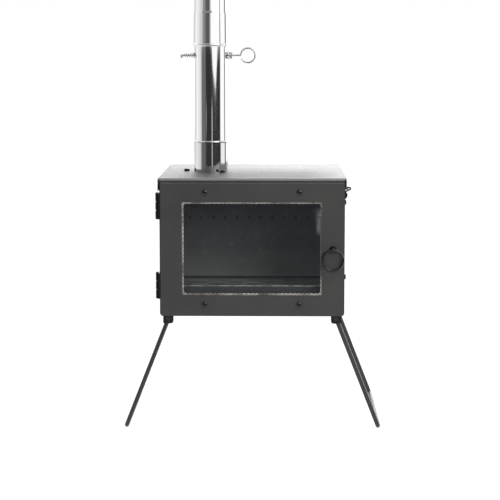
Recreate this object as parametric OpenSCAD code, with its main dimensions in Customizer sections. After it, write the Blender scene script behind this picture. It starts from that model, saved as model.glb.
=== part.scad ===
// Tent wood stove: a sheet-steel firebox on two folding wire legs, with a
// glazed door, an air shutter, and a flue pipe with a turning damper.
// Millimetres. +Z is up, the door faces -Y, the floor is z = 0, and the
// origin is under the middle of the whole stove.

/* [Casing] */
// Width across the casing's side walls
casing_w = 320; // [260:1:400]
// Depth from the casing's front edge to its back edge
casing_d = 335; // [280:1:420]
// Height from the casing's underside to the lid's underside
casing_h = 237.5; // [200:0.5:300]
// Thickness of the casing, frame and lid sheets
sheet_t = 1.5; // [1:0.1:2.5]
// Outer radius of the casing's folded bottom corners
casing_bend_r = 4; // [3:0.5:10]

/* [Lid] */
// Gap between the lid's side flange and the casing wall
lid_side_gap = 1.5; // [0.5:0.1:4]
// Drop of the lid's side flanges below the lid's top
lid_flange_h = 22; // [10:1:22]
// Drop of the lid's back flange below the lid's top
lid_back_h = 12; // [6:1:30]

/* [Front frame] */
// Distance that the front frame stands ahead of the casing
frame_stand = 4; // [2:0.5:12]
// Width of the frame's face from its outer edge to the mouth
frame_rim = 12; // [10:0.5:13]
// Depth of the frame's fold inside the casing
frame_fold = 18; // [12:1:30]
// Clearance between the frame's fold and the casing
frame_clear = 0.2; // [0.1:0.05:0.6]
// Drop of the frame's top below the lid's underside
frame_drop = 2.5; // [1.5:0.5:6]

/* [Door] */
// Inset of the door's edges from the casing's sides
door_side_gap = 2.5; // [1.5:0.5:5]
// Drop of the door's top edge below the lid's underside
door_top_gap = 6; // [4:0.5:12]
// Depth of the folded door pan
door_d = 12; // [10:0.5:20]
// Gap between the door pan and the front frame
door_gap = 1; // [0.5:0.1:3]
// Height of the door's bottom edge above the casing's underside
door_lift = 1.5; // [0.5:0.5:4]
// Corner radius of the door
door_corner_r = 3; // [1.5:0.5:8]
// Margin of the door beside the window cut-out
window_side = 37; // [35:0.5:60]
// Margin of the door above the window cut-out
window_head = 32.5; // [31:0.5:60]
// Height of the window's lower edge above the door's lower edge
window_sill = 36.5; // [34:0.5:60]
// Corner radius of the window cut-out
window_corner_r = 3; // [1:0.5:10]
// Thickness of the glass
glass_t = 4; // [3:0.5:5]
// Margin of the glass around the window cut-out
glass_margin = 8; // [6:0.5:9]
// Thickness of the fibre gasket in front of the glass
gasket_t = 3; // [1.5:0.5:3.5]
// Width of the gasket that shows inside the window cut-out
gasket_show = 3; // [2:0.5:6]
// Thickness of the glass retainer
retainer_t = 1.2; // [0.8:0.1:1.5]
// Distance of the retainer screws outside the window cut-out
screw_out = 16.5; // [15:0.5:18]
// Distance of the retainer screws from the door's centre line
screw_half = 81.3; // [40:0.5:100]
// Width of the fibre seal behind the door
seal_w = 8; // [5:0.5:8.5]
// Running gap between a soft seal and the part it closes on
soft_gap = 0.3; // [0.2:0.1:0.6]

/* [Hinges] */
// Height of each hinge
hinge_h = 45; // [30:1:70]
// Distance of the upper hinge's middle below the door's top edge
hinge_drop = 40; // [30:1:60]
// Height of the lower hinge's middle above the door's lower edge
hinge_low_z = 52; // [35:1:80]
// Outer radius of the knuckles
knuckle_r = 3; // [2.5:0.1:5]
// Radius of the hinge pin
hinge_pin_r = 1.6; // [1.2:0.1:2]
// Thickness of the leaves
leaf_t = 1.2; // [0.8:0.1:2]
// Length of the casing leaf behind the knuckles
leaf_len = 24; // [20:1:28]
// Gap between neighbouring knuckles
knuckle_gap = 1; // [0.2:0.1:2]
// Radial clearance of the pins and shafts that turn
run_clear = 0.06; // [0.02:0.01:0.1]

/* [Latch] */
// Distance of the latch from the door's free edge
latch_in = 18.5; // [18:0.5:22]
// Drop of the latch below the middle of the door's height
latch_drop = -1; // [-40:0.5:40]
// Radius of the latch shaft
latch_r = 3; // [2:0.1:3.5]
// Outer radius of the eye
eye_r = 5; // [4.5:0.1:8]
// Thickness of the eye along the ring's wire
eye_t = 4; // [3:0.5:8]
// Distance of the eye's middle ahead of the door's face
eye_out = 9; // [8:0.5:20]
// Middle radius of the ring handle
ring_r = 17.5; // [12:0.5:30]
// Radius of the ring's wire
ring_wire_r = 2.2; // [1:0.1:2.5]
// Gap between the ring's wire and the eye's bore
ring_gap = 0.6; // [0.3:0.1:1]
// Reach of the cam from the latch shaft
cam_len = 16; // [12:0.5:16.5]
// Half width of the cam
cam_half = 5; // [4:0.1:5]
// Thickness of the cam
cam_t = 2.5; // [1.5:0.1:4]
// Gap between the cam and the front frame
cam_gap = 1.2; // [0.6:0.1:3]

/* [Legs] */
// Height from the floor to the casing's underside
leg_h = 204; // [150:1:260]
// Lean of each leg from upright
leg_splay = 21.4; // [10:0.1:26]
// Radius of the leg rod
leg_r = 3.8; // [2.5:0.1:4]
// Distance of the leg arms from the casing's front and back edges
leg_inset = 20; // [16:1:40]
// Distance of the pivots from the casing's sides
pivot_in = 14.2; // [12:0.1:30]
// Bend radius at the foot bar's ends
foot_bend_r = 8; // [8:1:25]
// Bend radius at the pivot ends
pivot_bend_r = 6; // [5:0.5:10]
// Thickness of the leg brackets
bracket_t = 1.5; // [1:0.1:2.5]
// Depth of a bracket below the pivot
bracket_drop = 9.3; // [7:0.1:14]
// Distance of a bracket's inner edge from the pivot
bracket_inner = 8.7; // [7:0.1:14]
// Corner radius of a bracket
bracket_corner_r = 5; // [2:0.5:6]
// Gap between a leg arm and the lip that stops it
leg_stop_gap = 0.2; // [0.1:0.1:0.6]

/* [Flue] */
// Outer radius of the flue pipes
pipe_r = 30; // [25:0.5:40]
// Wall of the pipes and the collar
pipe_t = 0.8; // [0.5:0.1:1.5]
// Radial clearance of a pipe in its socket
pipe_clear = 0.3; // [0.2:0.1:0.6]
// Distance of the flue from the casing's centre line, towards the hinges
flue_off = 77; // [50:1:100]
// Height of the collar above the lid
collar_h = 56; // [35:1:90]
// Distance of the collar's screws from the outside of its tube
collar_screw_out = 12.9; // [11:0.1:20]
// Height of the damper shaft above the lid
damper_h = 209; // [150:1:260]
// Height of the upper pipe's rim above the damper shaft
socket_up = 15.5; // [12:0.5:30]
// Length of the upper pipe's socket
socket_len = 60; // [40:1:80]
// Widening of the upper pipe's socket from its upper end to its rim
socket_flare = 0.8; // [0:0.1:1.5]
// Length of the upper pipe
upper_len = 250; // [150:1:400]

/* [Damper] */
// Gap between the damper plate's edge and the pipe's bore
damper_gap = 0.9; // [0.5:0.1:2]
// Thickness of the damper plate
damper_t = 1; // [0.6:0.1:2]
// Radius of the damper rod
rod_r = 1.5; // [1:0.1:2.5]
// Middle radius of the loop handle
loop_r = 12.9; // [8:0.1:20]
// Distance from the outside of the pipe to the loop's middle
loop_out = 36.9; // [30:0.1:60]
// Wire radius of the long spring
spring_wire_r = 0.8; // [0.5:0.1:1]
// Curls of the long spring
spring_curls = 4; // [3:1:8]
// Length of the long spring
spring_len = 20; // [16:0.5:30]
// Middle radius of the long spring's wide end
spring_wide_r = 4.6; // [4:0.1:7]
// Middle radius of the short spring
cuff_r = 6; // [4:0.1:8]
// Wire radius of the short spring
cuff_wire_r = 0.9; // [0.5:0.1:1.2]
// Curls of the short spring
cuff_curls = 2.5; // [2:0.5:4]
// Length of the short spring
cuff_len = 8.4; // [8:0.1:12]

/* [Firebox] */
// Height of the grate's top above the casing's underside
grate_h = 22.5; // [18:0.5:40]
// Gap of the grate to the walls
grate_gap = 6; // [3:0.5:15]
// Length of a grate slot
slot_len = 44; // [25:1:60]
// Width of a grate slot
slot_w = 8; // [5:0.5:14]
// Height of the log guard above the casing's underside
guard_h = 51; // [35:1:80]
// Distance of the log guard behind the casing's front edge
guard_back = 22; // [20:1:40]
// Distance of the air baffle ahead of the back panel
baffle_gap = 18; // [12:1:40]
// Height of the air jets above the casing's underside
jet_z = 138.5; // [80:0.5:180]
// Radius of an air jet
jet_r = 2.8; // [1.5:0.1:5]
// Spacing of the air jets
jet_pitch = 22.5; // [15:0.5:40]

/* [Air shutter] */
// Height of the shutter's middle above the casing's underside
air_z = 20; // [19:0.5:40]
// Radius of an air hole
air_r = 6; // [3:0.5:7]
// Spacing of the air holes, twice the shutter's travel
air_pitch = 30; // [26:1:40]
// Number of air holes
air_count = 3; // [2:1:4]
// Height of the shutter plate
shutter_h = 20; // [18:0.5:26]
// Gap of the shutter plate to the casing and to its guides
shutter_gap = 0.3; // [0.2:0.1:0.6]
// Reach of the shutter's knob beyond the casing's side
knob_reach = 17; // [12:0.5:30]
// Radius of the shutter's knob
knob_r = 5; // [3:0.5:8]

/* [Shelf eyes] */
// Gap between the lid's side flange and the arms of the shelf eyes
shelf_gap = 0.5; // [0.4:0.1:3]
// Distance of the shelf eyes beyond the casing's side
shelf_out = 7; // [6.9:0.1:14]
// Outer radius of a shelf eye
shelf_eye_r = 3.5; // [3:0.1:3.6]
// Bore radius of a shelf eye
shelf_bore_r = 1.1; // [0.8:0.1:1.8]
// Length of a shelf eye
shelf_len = 12; // [8:1:30]

/* [Hidden] */
$fn = 64;

// Finish colours
BLACK = [0.27, 0.27, 0.27];
DARK = [0.17, 0.17, 0.17];
ROD = [0.24, 0.24, 0.25];
STEEL = [0.80, 0.81, 0.83];
FIBRE = [0.80, 0.80, 0.77];
GLASS = [0.45, 0.55, 0.60, 0.4];

// Overshoot of a cutting shape past the face that it cuts
cut = 1;

// Depth places, from the eye at the front to the lid's back flange
lid_back_gap = 0.5;
eye_reach = eye_out + eye_r;
stove_d = eye_reach + door_d + door_gap + frame_stand + casing_d + lid_back_gap + sheet_t;
face_y = eye_reach - stove_d / 2;
frame_y = face_y + door_d + door_gap;
front_y = frame_y + frame_stand;
back_y = front_y + casing_d;
mid_y = (front_y + back_y) / 2;

// Height places
casing_z = leg_h;
lid_z = casing_z + casing_h;
top_z = lid_z + sheet_t;
lid_lip_h = sheet_t + frame_drop;
lid_w = casing_w + 2 * (lid_side_gap + sheet_t);
lid_bend_r = lid_side_gap + sheet_t;
lid_front_y = front_y - sheet_t;
lid_d = stove_d / 2 - lid_front_y;
door_z = casing_z + door_lift;
door_w = casing_w - 2 * door_side_gap;
door_h = casing_h - door_lift - door_top_gap;
window_w = door_w - 2 * window_side;
window_h = door_h - window_sill - window_head;
half_w = casing_w / 2;
inner_w = casing_w - 2 * sheet_t;

// Front frame
frame_w = inner_w - 2 * frame_clear;
frame_z = casing_z + sheet_t + frame_clear;
frame_h = lid_z - frame_drop - frame_z;
mouth_w = frame_w - 2 * frame_rim;
mouth_h = frame_h - 2 * frame_rim;
mouth_z = frame_z + frame_rim;

// Door stack, from the skin's inner face backwards
skin_y = face_y + sheet_t;
glass_y = skin_y + gasket_t;
retainer_y = glass_y + glass_t;
window_z = door_z + window_sill;
window_mid_z = window_z + window_h / 2;
seal_in = sheet_t + 0.5;
seal_d = frame_y - skin_y - soft_gap;

// Hinge axis
hinge_up_z = door_h - hinge_drop;
hinge_x = -(half_w + leaf_t / 2 + knuckle_r);
hinge_y = face_y + door_d + door_gap / 2;
leaf_gap = 0.5;
hinge_rivet_y = hinge_y + 14;

// Latch
latch_x = door_w / 2 - latch_in;
latch_axis_z = door_z + door_h / 2 - latch_drop;
eye_y = face_y - eye_out;
eye_bore_r = ring_wire_r + ring_gap;
bush_r = 4.6;
cam_y = frame_y + sheet_t + cam_gap;
latch_nut_t = 3.2;

// Legs
pivot_x = half_w - pivot_in;
pivot_drop = bracket_t + leg_r + 1.2;
pivot_z = casing_z - pivot_drop;
arm_len = (pivot_z - leg_r) / cos(leg_splay);
arm_front_y = front_y + leg_inset;
arm_back_y = back_y - leg_inset;
pin_out = pivot_bend_r + 3;
lip_x = pivot_x + bracket_drop * tan(leg_splay) + leg_r / cos(leg_splay) + leg_stop_gap;
bracket_len = 36;

// Flue
flue_x = -flue_off;
flue_y = mid_y;
collar_r_in = pipe_r + pipe_clear;
collar_r = collar_r_in + pipe_t;
collar_screw_pcd_r = collar_r + collar_screw_out;
collar_flange_r = collar_screw_pcd_r + 7;
collar_flange_t = 1.2;
pipe_seat_z = lid_z - collar_flange_t + pipe_t;
damper_z = top_z + damper_h;
socket_z = damper_z + socket_up;
seam_z = socket_z + socket_len;
neck_h = 3;
damper_pipe_top = seam_z - pipe_clear;

// Damper
plate_r = pipe_r - pipe_t - damper_gap;
loop_x = pipe_r + loop_out;
washer_t = 0.8;
washer_r = 5.4;

// Firebox
floor_z = casing_z + sheet_t;
baffle_y = back_y - baffle_gap;
baffle_h = casing_h - 60;
jet_count = 2 * floor((inner_w / 2 - 30) / jet_pitch + 0.5);

// Air shutter
shutter_t = 1.2;
shutter_len = (air_count + 1) * air_pitch;
shutter_x = half_w + shutter_gap;
travel = air_pitch / 2;
guide_t = 1;
guide_foot = 5;
guide_lap = 2.5;

// Fasteners
hole_clear = 0.1;
rivet_r = 2;
collar_screw_r = 2.5;
door_screw_r = 2.5;
side_screw_r = 2;
side_screw_z = [casing_z + 67, top_z - lid_flange_h - 20];
side_screw_in = 9;
back_fold = 14;
collar_screw_angles = [60, 180, 300];

// ---------------------------------------------------------------- shapes

// Rectangle with round corners, centred on the origin
module round_rect(w, h, r) {
    square([w - 2 * r, h], center = true);
    square([w, h - 2 * r], center = true);
    for (sx = [-1, 1], sy = [-1, 1])
        translate([sx * (w / 2 - r), sy * (h / 2 - r)]) circle(r = r);
}

// Ring between two rectangles with round corners
module rect_ring(w, h, r, in_w, in_h, in_r) {
    difference() {
        round_rect(w, h, r);
        round_rect(in_w, in_h, in_r);
    }
}

// Upright profile, drawn in X and Z, given a depth along +Y
module along_y(y, len) {
    translate([0, y + len, 0]) rotate([90, 0, 0]) linear_extrude(len) children();
}

// Cylinder along +Y that starts at y
module rod_y(x, y, z, r, len) {
    translate([x, y, z]) rotate([-90, 0, 0]) cylinder(r = r, h = len);
}

// Cylinder along +X that starts at x
module rod_x(x, y, z, r, len) {
    translate([x, y, z]) rotate([0, 90, 0]) cylinder(r = r, h = len);
}

// Slot with round ends along X, centred on the origin
module slot_shape(len, w) {
    square([len - w, w], center = true);
    for (s = [-1, 1]) translate([s * (len - w) / 2, 0]) circle(r = w / 2);
}

// Button-head screw: head above z = 0, shank below, with a hexagon recess
module button_screw(head_r, head_h, shank_r, shank_len) {
    dome_r = (head_r * head_r + head_h * head_h) / (2 * head_h);
    difference() {
        union() {
            intersection() {
                cylinder(r = head_r, h = head_h);
                translate([0, 0, head_h - dome_r]) sphere(r = dome_r);
            }
            translate([0, 0, -shank_len]) cylinder(r = shank_r, h = shank_len + head_h / 2);
        }
        translate([0, 0, head_h * 0.45]) cylinder(r = head_r * 0.42, h = head_h, $fn = 6);
    }
}

// Pan-head screw: head above z = 0, shank below, with a hexagon recess
module pan_screw(head_r, head_h, shank_r, shank_len) {
    edge = head_h * 0.4;
    difference() {
        union() {
            rotate_extrude() {
                square([head_r, head_h - edge]);
                square([head_r - edge, head_h]);
                intersection() {
                    translate([head_r - edge, head_h - edge]) circle(r = edge);
                    square([head_r, head_h]);
                }
            }
            translate([0, 0, -shank_len]) cylinder(r = shank_r, h = shank_len + head_h / 2);
        }
        translate([0, 0, head_h * 0.5]) cylinder(r = head_r * 0.5, h = head_h, $fn = 6);
    }
}

// Domed rivet: head above z = 0, shank below
module rivet(head_r, head_h, shank_r, shank_len) {
    dome_r = (head_r * head_r + head_h * head_h) / (2 * head_h);
    intersection() {
        cylinder(r = head_r, h = head_h);
        translate([0, 0, head_h - dome_r]) sphere(r = dome_r);
    }
    translate([0, 0, -shank_len]) cylinder(r = shank_r, h = shank_len + head_h / 2);
}

// Hexagon nut standing on z = 0
module hex_nut(flat_r, h, bore_r) {
    difference() {
        cylinder(r = flat_r / cos(30), h = h, $fn = 6);
        translate([0, 0, -cut]) cylinder(r = bore_r, h = h + 2 * cut);
    }
}

// Quarter bend of round rod in the YZ plane: starts at the origin along -Z
// and leaves along +Y
module rod_bend(bend_r, r) {
    translate([0, bend_r, 0]) rotate([0, 90, 0])
        rotate([0, 0, -90]) rotate_extrude(angle = 90) translate([bend_r, 0]) circle(r = r);
}

// Frames along a spring about the X axis: [centre, outward, sideways]
function spring_frames(len, curls, r_start, r_end, wire_r, sides = 8) =
    let (steps = round(curls * sides))
    [for (i = [0 : steps])
        let (
            u = i / steps,
            a = u * curls * 360,
            r = r_start + (r_end - r_start) * u,
            x = wire_r + (len - 2 * wire_r) * u,
            out = [0, cos(a), sin(a)],
            along = [
                (len - 2 * wire_r) / (curls * 2 * PI),
                -r * sin(a),
                r * cos(a)
            ],
            side = cross(along / norm(along), out)
        )
        [[x, r * cos(a), r * sin(a)], out, side]
    ];

// One unbroken tube through the frames
module spring_tube(frames, wire_r, sides = 6) {
    n = len(frames);
    points = [for (f = frames) for (j = [0 : sides - 1])
        f[0] + wire_r * (cos(j * 360 / sides) * f[1] + sin(j * 360 / sides) * f[2])];
    walls = [for (i = [0 : n - 2]) for (j = [0 : sides - 1])
        let (k = (j + 1) % sides, a = i * sides, b = a + sides)
        each [[a + j, b + j, b + k], [a + j, b + k, a + k]]];
    first = [for (j = [1 : sides - 2]) [0, j, j + 1]];
    last_at = (n - 1) * sides;
    last = [for (j = [1 : sides - 2]) [last_at, last_at + j + 1, last_at + j]];
    polyhedron(points = points, faces = concat(walls, first, last));
}

// Least gap of a spring to itself, between places half a curl apart or more
function spring_gap(frames, wire_r, sides = 8) =
    min([for (i = [0 : len(frames) - 1]) for (j = [i + sides / 2 : len(frames) - 1])
        norm(frames[i][0] - frames[j][0])]) - 2 * wire_r;

spring_start_r = spring_wide_r;
spring_end_r = rod_r + spring_wire_r + 0.3;
spring_path = spring_frames(spring_len, spring_curls, spring_start_r, spring_end_r, spring_wire_r);
cuff_path = spring_frames(cuff_len, cuff_curls, cuff_r, cuff_r, cuff_wire_r);
echo("least gap of the long spring to itself", spring_gap(spring_path, spring_wire_r));
echo("least gap of the short spring to itself", spring_gap(cuff_path, cuff_wire_r));

// ---------------------------------------------------------------- casing

// Tray profile with round bottom corners, open upwards
module tray_profile(w, z, h, r) {
    translate([-w / 2, z + r]) square([w, h - r]);
    translate([-w / 2 + r, z]) square([w - 2 * r, h]);
    for (s = [-1, 1]) translate([s * (w / 2 - r), z + r]) circle(r = r);
}

// Places of the side screws: [side, y, z], right side at both ends, left side at the back
function side_screws_at() = [
    for (z = side_screw_z) each [
        [1, front_y + side_screw_in, z],
        [1, back_y - side_screw_in, z],
        [-1, back_y - side_screw_in, z]
    ]
];

// Holes through the side walls for the side screws
module side_screw_holes() {
    for (p = side_screws_at())
        rod_x(p[0] * half_w - 6, p[1], p[2], side_screw_r + hole_clear, 12);
}

// Places of the hinge rivets: [y, z]
function hinge_rivets_at() = [
    for (mid = [hinge_low_z, hinge_up_z], s = [-1, 1])
        [hinge_rivet_y, door_z + mid + s * hinge_h / 4]
];

// Holes through the left wall for the hinge rivets
module hinge_rivet_holes() {
    for (p = hinge_rivets_at())
        rod_x(-half_w - 4, p[0], p[1], rivet_r + hole_clear, 10);
}

// Places of the bracket rivets relative to the pivot: [towards the middle, along the leg]
bracket_rivets_at = [[-4, 16], [4, 16]];

module bracket_rivet_holes() {
    for (sx = [-1, 1], sy = [-1, 1], p = bracket_rivets_at)
        translate([sx * (pivot_x - p[0]), mid_y + sy * ((arm_back_y - arm_front_y) / 2 - p[1]), casing_z - cut])
            cylinder(r = rivet_r + hole_clear, h = sheet_t + 2 * cut);
}

// Places of the shutter guides' rivets: [y, z]
guide_half = shutter_len / 2 + travel + 2;
guide_edge = shutter_h / 2 + shutter_gap;
guide_rivet_r = 1.3;
guide_rivets_at = [for (sy = [-1, 1], sz = [-1, 1])
    [mid_y + sy * (guide_half - 6), casing_z + air_z + sz * (guide_edge + guide_t + guide_foot / 2)]];

module air_holes(offset_y, x, len) {
    for (i = [0 : air_count - 1])
        rod_x(x, mid_y + offset_y + (i - (air_count - 1) / 2) * air_pitch, casing_z + air_z, air_r, len);
}

module casing_shell() {
    color(BLACK) difference() {
        along_y(front_y, casing_d) difference() {
            tray_profile(casing_w, casing_z, casing_h, casing_bend_r);
            tray_profile(inner_w, floor_z, casing_h + cut, casing_bend_r - sheet_t);
        }
        air_holes(0, -half_w - cut, sheet_t + 2 * cut);
        side_screw_holes();
        hinge_rivet_holes();
        bracket_rivet_holes();
        for (p = guide_rivets_at)
            rod_x(-half_w - cut, p[0], p[1], guide_rivet_r + hole_clear, sheet_t + 2 * cut);
    }
}

module front_frame() {
    r = casing_bend_r - sheet_t;
    mid = frame_z + frame_h / 2;
    color(BLACK) difference() {
        union() {
            along_y(frame_y, sheet_t) translate([0, mid])
                rect_ring(frame_w, frame_h, r, mouth_w, mouth_h, r);
            along_y(frame_y, frame_stand + frame_fold) translate([0, mid])
                rect_ring(frame_w, frame_h, r, frame_w - 2 * sheet_t, frame_h - 2 * sheet_t, r - 1);
        }
        side_screw_holes();
        hinge_rivet_holes();
    }
}

module back_panel() {
    r = casing_bend_r - sheet_t;
    w = inner_w - 2 * frame_clear;
    z = floor_z + frame_clear;
    h = lid_z - frame_clear - z;
    intake_count = 5;
    color(BLACK) difference() {
        union() {
            along_y(back_y - sheet_t, sheet_t) translate([0, z + h / 2]) round_rect(w, h, r);
            along_y(back_y - back_fold, back_fold) translate([0, z + h / 2])
                rect_ring(w, h, r, w - 2 * sheet_t, h - 2 * sheet_t, r - 1);
        }
        side_screw_holes();
        along_y(back_y - sheet_t - cut, sheet_t + 2 * cut)
            for (i = [0 : intake_count - 1])
                translate([(i - (intake_count - 1) / 2) * w / (intake_count + 1), casing_z + 22])
                    slot_shape(30, 7);
    }
}

module lid() {
    flange_z = top_z - lid_flange_h;
    color(BLACK) difference() {
        union() {
            along_y(lid_front_y, lid_d) difference() {
                translate([0, 2 * top_z]) mirror([0, 1])
                    tray_profile(lid_w, top_z, lid_flange_h, lid_bend_r);
                translate([0, 2 * lid_z]) mirror([0, 1])
                    tray_profile(lid_w - 2 * sheet_t, lid_z, lid_flange_h + cut, lid_bend_r - sheet_t);
            }
            translate([-lid_w / 2 + lid_bend_r, lid_front_y, top_z - lid_lip_h])
                cube([lid_w - 2 * lid_bend_r, sheet_t, lid_lip_h]);
            translate([-lid_w / 2 + lid_bend_r, lid_front_y + lid_d - sheet_t, top_z - lid_back_h])
                cube([lid_w - 2 * lid_bend_r, sheet_t, lid_back_h]);
        }
        translate([flue_x, flue_y, lid_z - cut]) {
            cylinder(r = collar_r + hole_clear, h = sheet_t + 2 * cut);
            for (a = collar_screw_angles) rotate([0, 0, a]) translate([collar_screw_pcd_r, 0, 0])
                cylinder(r = collar_screw_r + hole_clear, h = sheet_t + 2 * cut);
        }
    }
}

module side_screws() {
    color(DARK) for (p = side_screws_at())
        translate([p[0] * half_w, p[1], p[2]]) rotate([0, p[0] * 90, 0])
            pan_screw(4.4, 2.5, side_screw_r, 7.5);
}

module side_nuts() {
    color(DARK) for (p = side_screws_at())
        translate([p[0] * (half_w - 2 * sheet_t - frame_clear), p[1], p[2]]) rotate([0, -p[0] * 90, 0])
            hex_nut(3.5, 3, side_screw_r + run_clear);
}

// ---------------------------------------------------------------- firebox

module air_baffle() {
    w = inner_w - 2 * (sheet_t + 2 * frame_clear);
    z = floor_z + frame_clear;
    h = casing_z + baffle_h - z;
    color(BLACK) {
        difference() {
            translate([-w / 2, baffle_y, z]) cube([w, sheet_t, h]);
            for (i = [0 : jet_count - 1])
                rod_y((i - (jet_count - 1) / 2) * jet_pitch, baffle_y - cut, casing_z + jet_z, jet_r, sheet_t + 2 * cut);
        }
        translate([-w / 2, baffle_y, z + h - sheet_t])
            cube([w, baffle_gap - sheet_t - frame_clear, sheet_t]);
    }
}

module log_guard() {
    w = inner_w - 12;
    y = front_y + guard_back;
    z = floor_z + frame_clear;
    h = casing_z + guard_h - z;
    foot = 12;
    hem = 5;
    color(BLACK) {
        translate([-w / 2, y, z]) cube([w, sheet_t, h]);
        translate([-w / 2, y, z]) cube([w, foot, sheet_t]);
        translate([-w / 2, y, z + h - sheet_t]) cube([w, hem, sheet_t]);
    }
}

module grate() {
    w = inner_w - 2 * grate_gap;
    y = front_y + guard_back + 16;
    d = baffle_y - grate_gap - y;
    z = casing_z + grate_h - sheet_t;
    leg = z - floor_z - frame_clear;
    row_pitch = 28;
    rows = floor((d - 24) / row_pitch) + 1;
    col_pitch = 68;
    cols = floor((w - slot_len - 12) / col_pitch) + 1;
    color(BLACK) {
        translate([0, 0, z]) linear_extrude(sheet_t) difference() {
            translate([-w / 2, y]) square([w, d]);
            for (row = [0 : rows - 1])
                let (n = cols - row % 2)
                    for (i = [0 : n - 1])
                        translate([(i - (n - 1) / 2) * col_pitch, y + d / 2 + (row - (rows - 1) / 2) * row_pitch])
                            slot_shape(slot_len, slot_w);
        }
        for (leg_y = [y, y + d - sheet_t])
            difference() {
                translate([-w / 2, leg_y, z - leg]) cube([w, sheet_t, leg + sheet_t]);
                along_y(leg_y - cut, sheet_t + 2 * cut)
                    for (i = [-1 : 1]) translate([i * w / 3, z - leg]) slot_shape(w / 4, leg);
            }
    }
}

// ---------------------------------------------------------------- flue

module at_flue(z) {
    translate([flue_x, flue_y, z]) children();
}

// Rolled bead around a tube, drawn in the tube's section
module bead_section(r_out, z, bead_r, stand) {
    translate([r_out + stand - bead_r, z]) circle(r = bead_r);
}

module flue_collar() {
    bottom = lid_z - collar_flange_t;
    height = top_z + collar_h - bottom;
    seat_r = pipe_r - 2.2;
    color(STEEL) difference() {
        at_flue(bottom) rotate_extrude($fn = 96) {
            difference() {
                union() {
                    square([collar_r, height]);
                    square([collar_flange_r, collar_flange_t]);
                    bead_section(collar_r, height - 2, 2, 1);
                }
                translate([-cut, pipe_t]) square([collar_r_in + cut, height + cut]);
                translate([-cut, -cut]) square([seat_r + cut, 3 * cut]);
            }
        }
        at_flue(bottom - cut) for (a = collar_screw_angles) rotate([0, 0, a])
            translate([collar_screw_pcd_r, 0, 0])
                cylinder(r = collar_screw_r + hole_clear, h = collar_flange_t + 2 * cut);
    }
}

module collar_screws() {
    color(DARK) at_flue(top_z) for (a = collar_screw_angles) rotate([0, 0, a])
        translate([collar_screw_pcd_r, 0, 0]) pan_screw(5, 4.6, collar_screw_r, 8.5);
}

module collar_nuts() {
    color(DARK) at_flue(lid_z - collar_flange_t) for (a = collar_screw_angles) rotate([0, 0, a])
        translate([collar_screw_pcd_r, 0, 0]) mirror([0, 0, 1])
            hex_nut(4, 4, collar_screw_r + run_clear);
}

module damper_pipe() {
    bottom = pipe_seat_z + frame_clear;
    color(STEEL) difference() {
        at_flue(bottom) rotate_extrude($fn = 96)
            translate([pipe_r - pipe_t, 0]) square([pipe_t, damper_pipe_top - bottom]);
        rod_x(flue_x - pipe_r - cut, flue_y, damper_z, rod_r + run_clear, 2 * pipe_r + 2 * cut);
    }
}

module upper_pipe() {
    bead_z = 3;
    rim_r = collar_r_in + socket_flare;
    color(STEEL) at_flue(socket_z) rotate_extrude($fn = 96) {
        difference() {
            union() {
                polygon([
                    [rim_r, 0],
                    [rim_r + pipe_t, 0],
                    [collar_r, socket_len],
                    [collar_r_in, socket_len]
                ]);
                bead_section(rim_r + pipe_t - socket_flare * bead_z / socket_len, bead_z, 3, 1.1);
            }
            polygon([[0, -cut], [rim_r, -cut], [rim_r, 0], [collar_r_in, socket_len], [0, socket_len]]);
        }
        polygon([
            [collar_r_in, socket_len],
            [collar_r, socket_len],
            [pipe_r, socket_len + neck_h],
            [pipe_r, upper_len],
            [pipe_r - pipe_t, upper_len],
            [pipe_r - pipe_t, socket_len + neck_h]
        ]);
    }
}

// ---------------------------------------------------------------- damper

module damper_plate() {
    strap_x = 14;
    strap_w = 8;
    strap_r = rod_r + 0.9;
    color(STEEL) difference() {
        union() {
            rod_y(flue_x, flue_y + rod_r, damper_z, plate_r, damper_t);
            for (s = [-1, 1])
                rod_x(flue_x + s * strap_x - strap_w / 2, flue_y, damper_z, strap_r, strap_w);
        }
        rod_x(flue_x - pipe_r, flue_y, damper_z, rod_r + run_clear / 2, 2 * pipe_r);
    }
}

rod_left = pipe_r + frame_clear + washer_t + spring_len + rod_r + 0.6;

// The left end is flattened down to hold the spring; the right end is bent to a loop
module damper_rod() {
    tip = 5;
    tip_r = rod_r + 0.1;
    loop_gap = 28;
    color(STEEL) translate([flue_x, flue_y, damper_z]) {
        rod_x(-rod_left, 0, 0, rod_r, rod_left + loop_x - loop_r);
        translate([-rod_left, 0, -tip]) cylinder(r = tip_r, h = tip + tip_r);
        translate([loop_x, 0, 0]) rotate([90, 0, 0]) rotate([0, 0, 180 + loop_gap])
            rotate_extrude(angle = 360 - loop_gap) translate([loop_r, 0]) circle(r = tip_r, $fn = 24);
    }
}

module damper_washers() {
    start = pipe_r + frame_clear;
    color(STEEL) translate([flue_x, flue_y, damper_z]) difference() {
        union() {
            rod_x(-start - washer_t, 0, 0, spring_wide_r + spring_wire_r, washer_t);
            rod_x(start, 0, 0, cuff_r + cuff_wire_r, washer_t);
        }
        rod_x(-rod_left, 0, 0, rod_r + run_clear, 2 * rod_left);
    }
}

module damper_spring() {
    color(STEEL) translate([flue_x - pipe_r - frame_clear - washer_t - run_clear, flue_y, damper_z])
        rotate([0, 0, 180]) spring_tube(spring_path, spring_wire_r);
}

module damper_cuff() {
    color(STEEL) translate([flue_x + pipe_r + frame_clear + washer_t + run_clear, flue_y, damper_z])
        spring_tube(cuff_path, cuff_wire_r);
}

// ---------------------------------------------------------------- door

function door_screws_at() = [
    for (sx = [-1, 1], sz = [-1, 1])
        [sx * screw_half, window_mid_z + sz * (window_h / 2 + screw_out)]
];

module door_screw_holes(y, len) {
    for (p = door_screws_at()) rod_y(p[0], y, p[1], door_screw_r + hole_clear, len);
}

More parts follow.
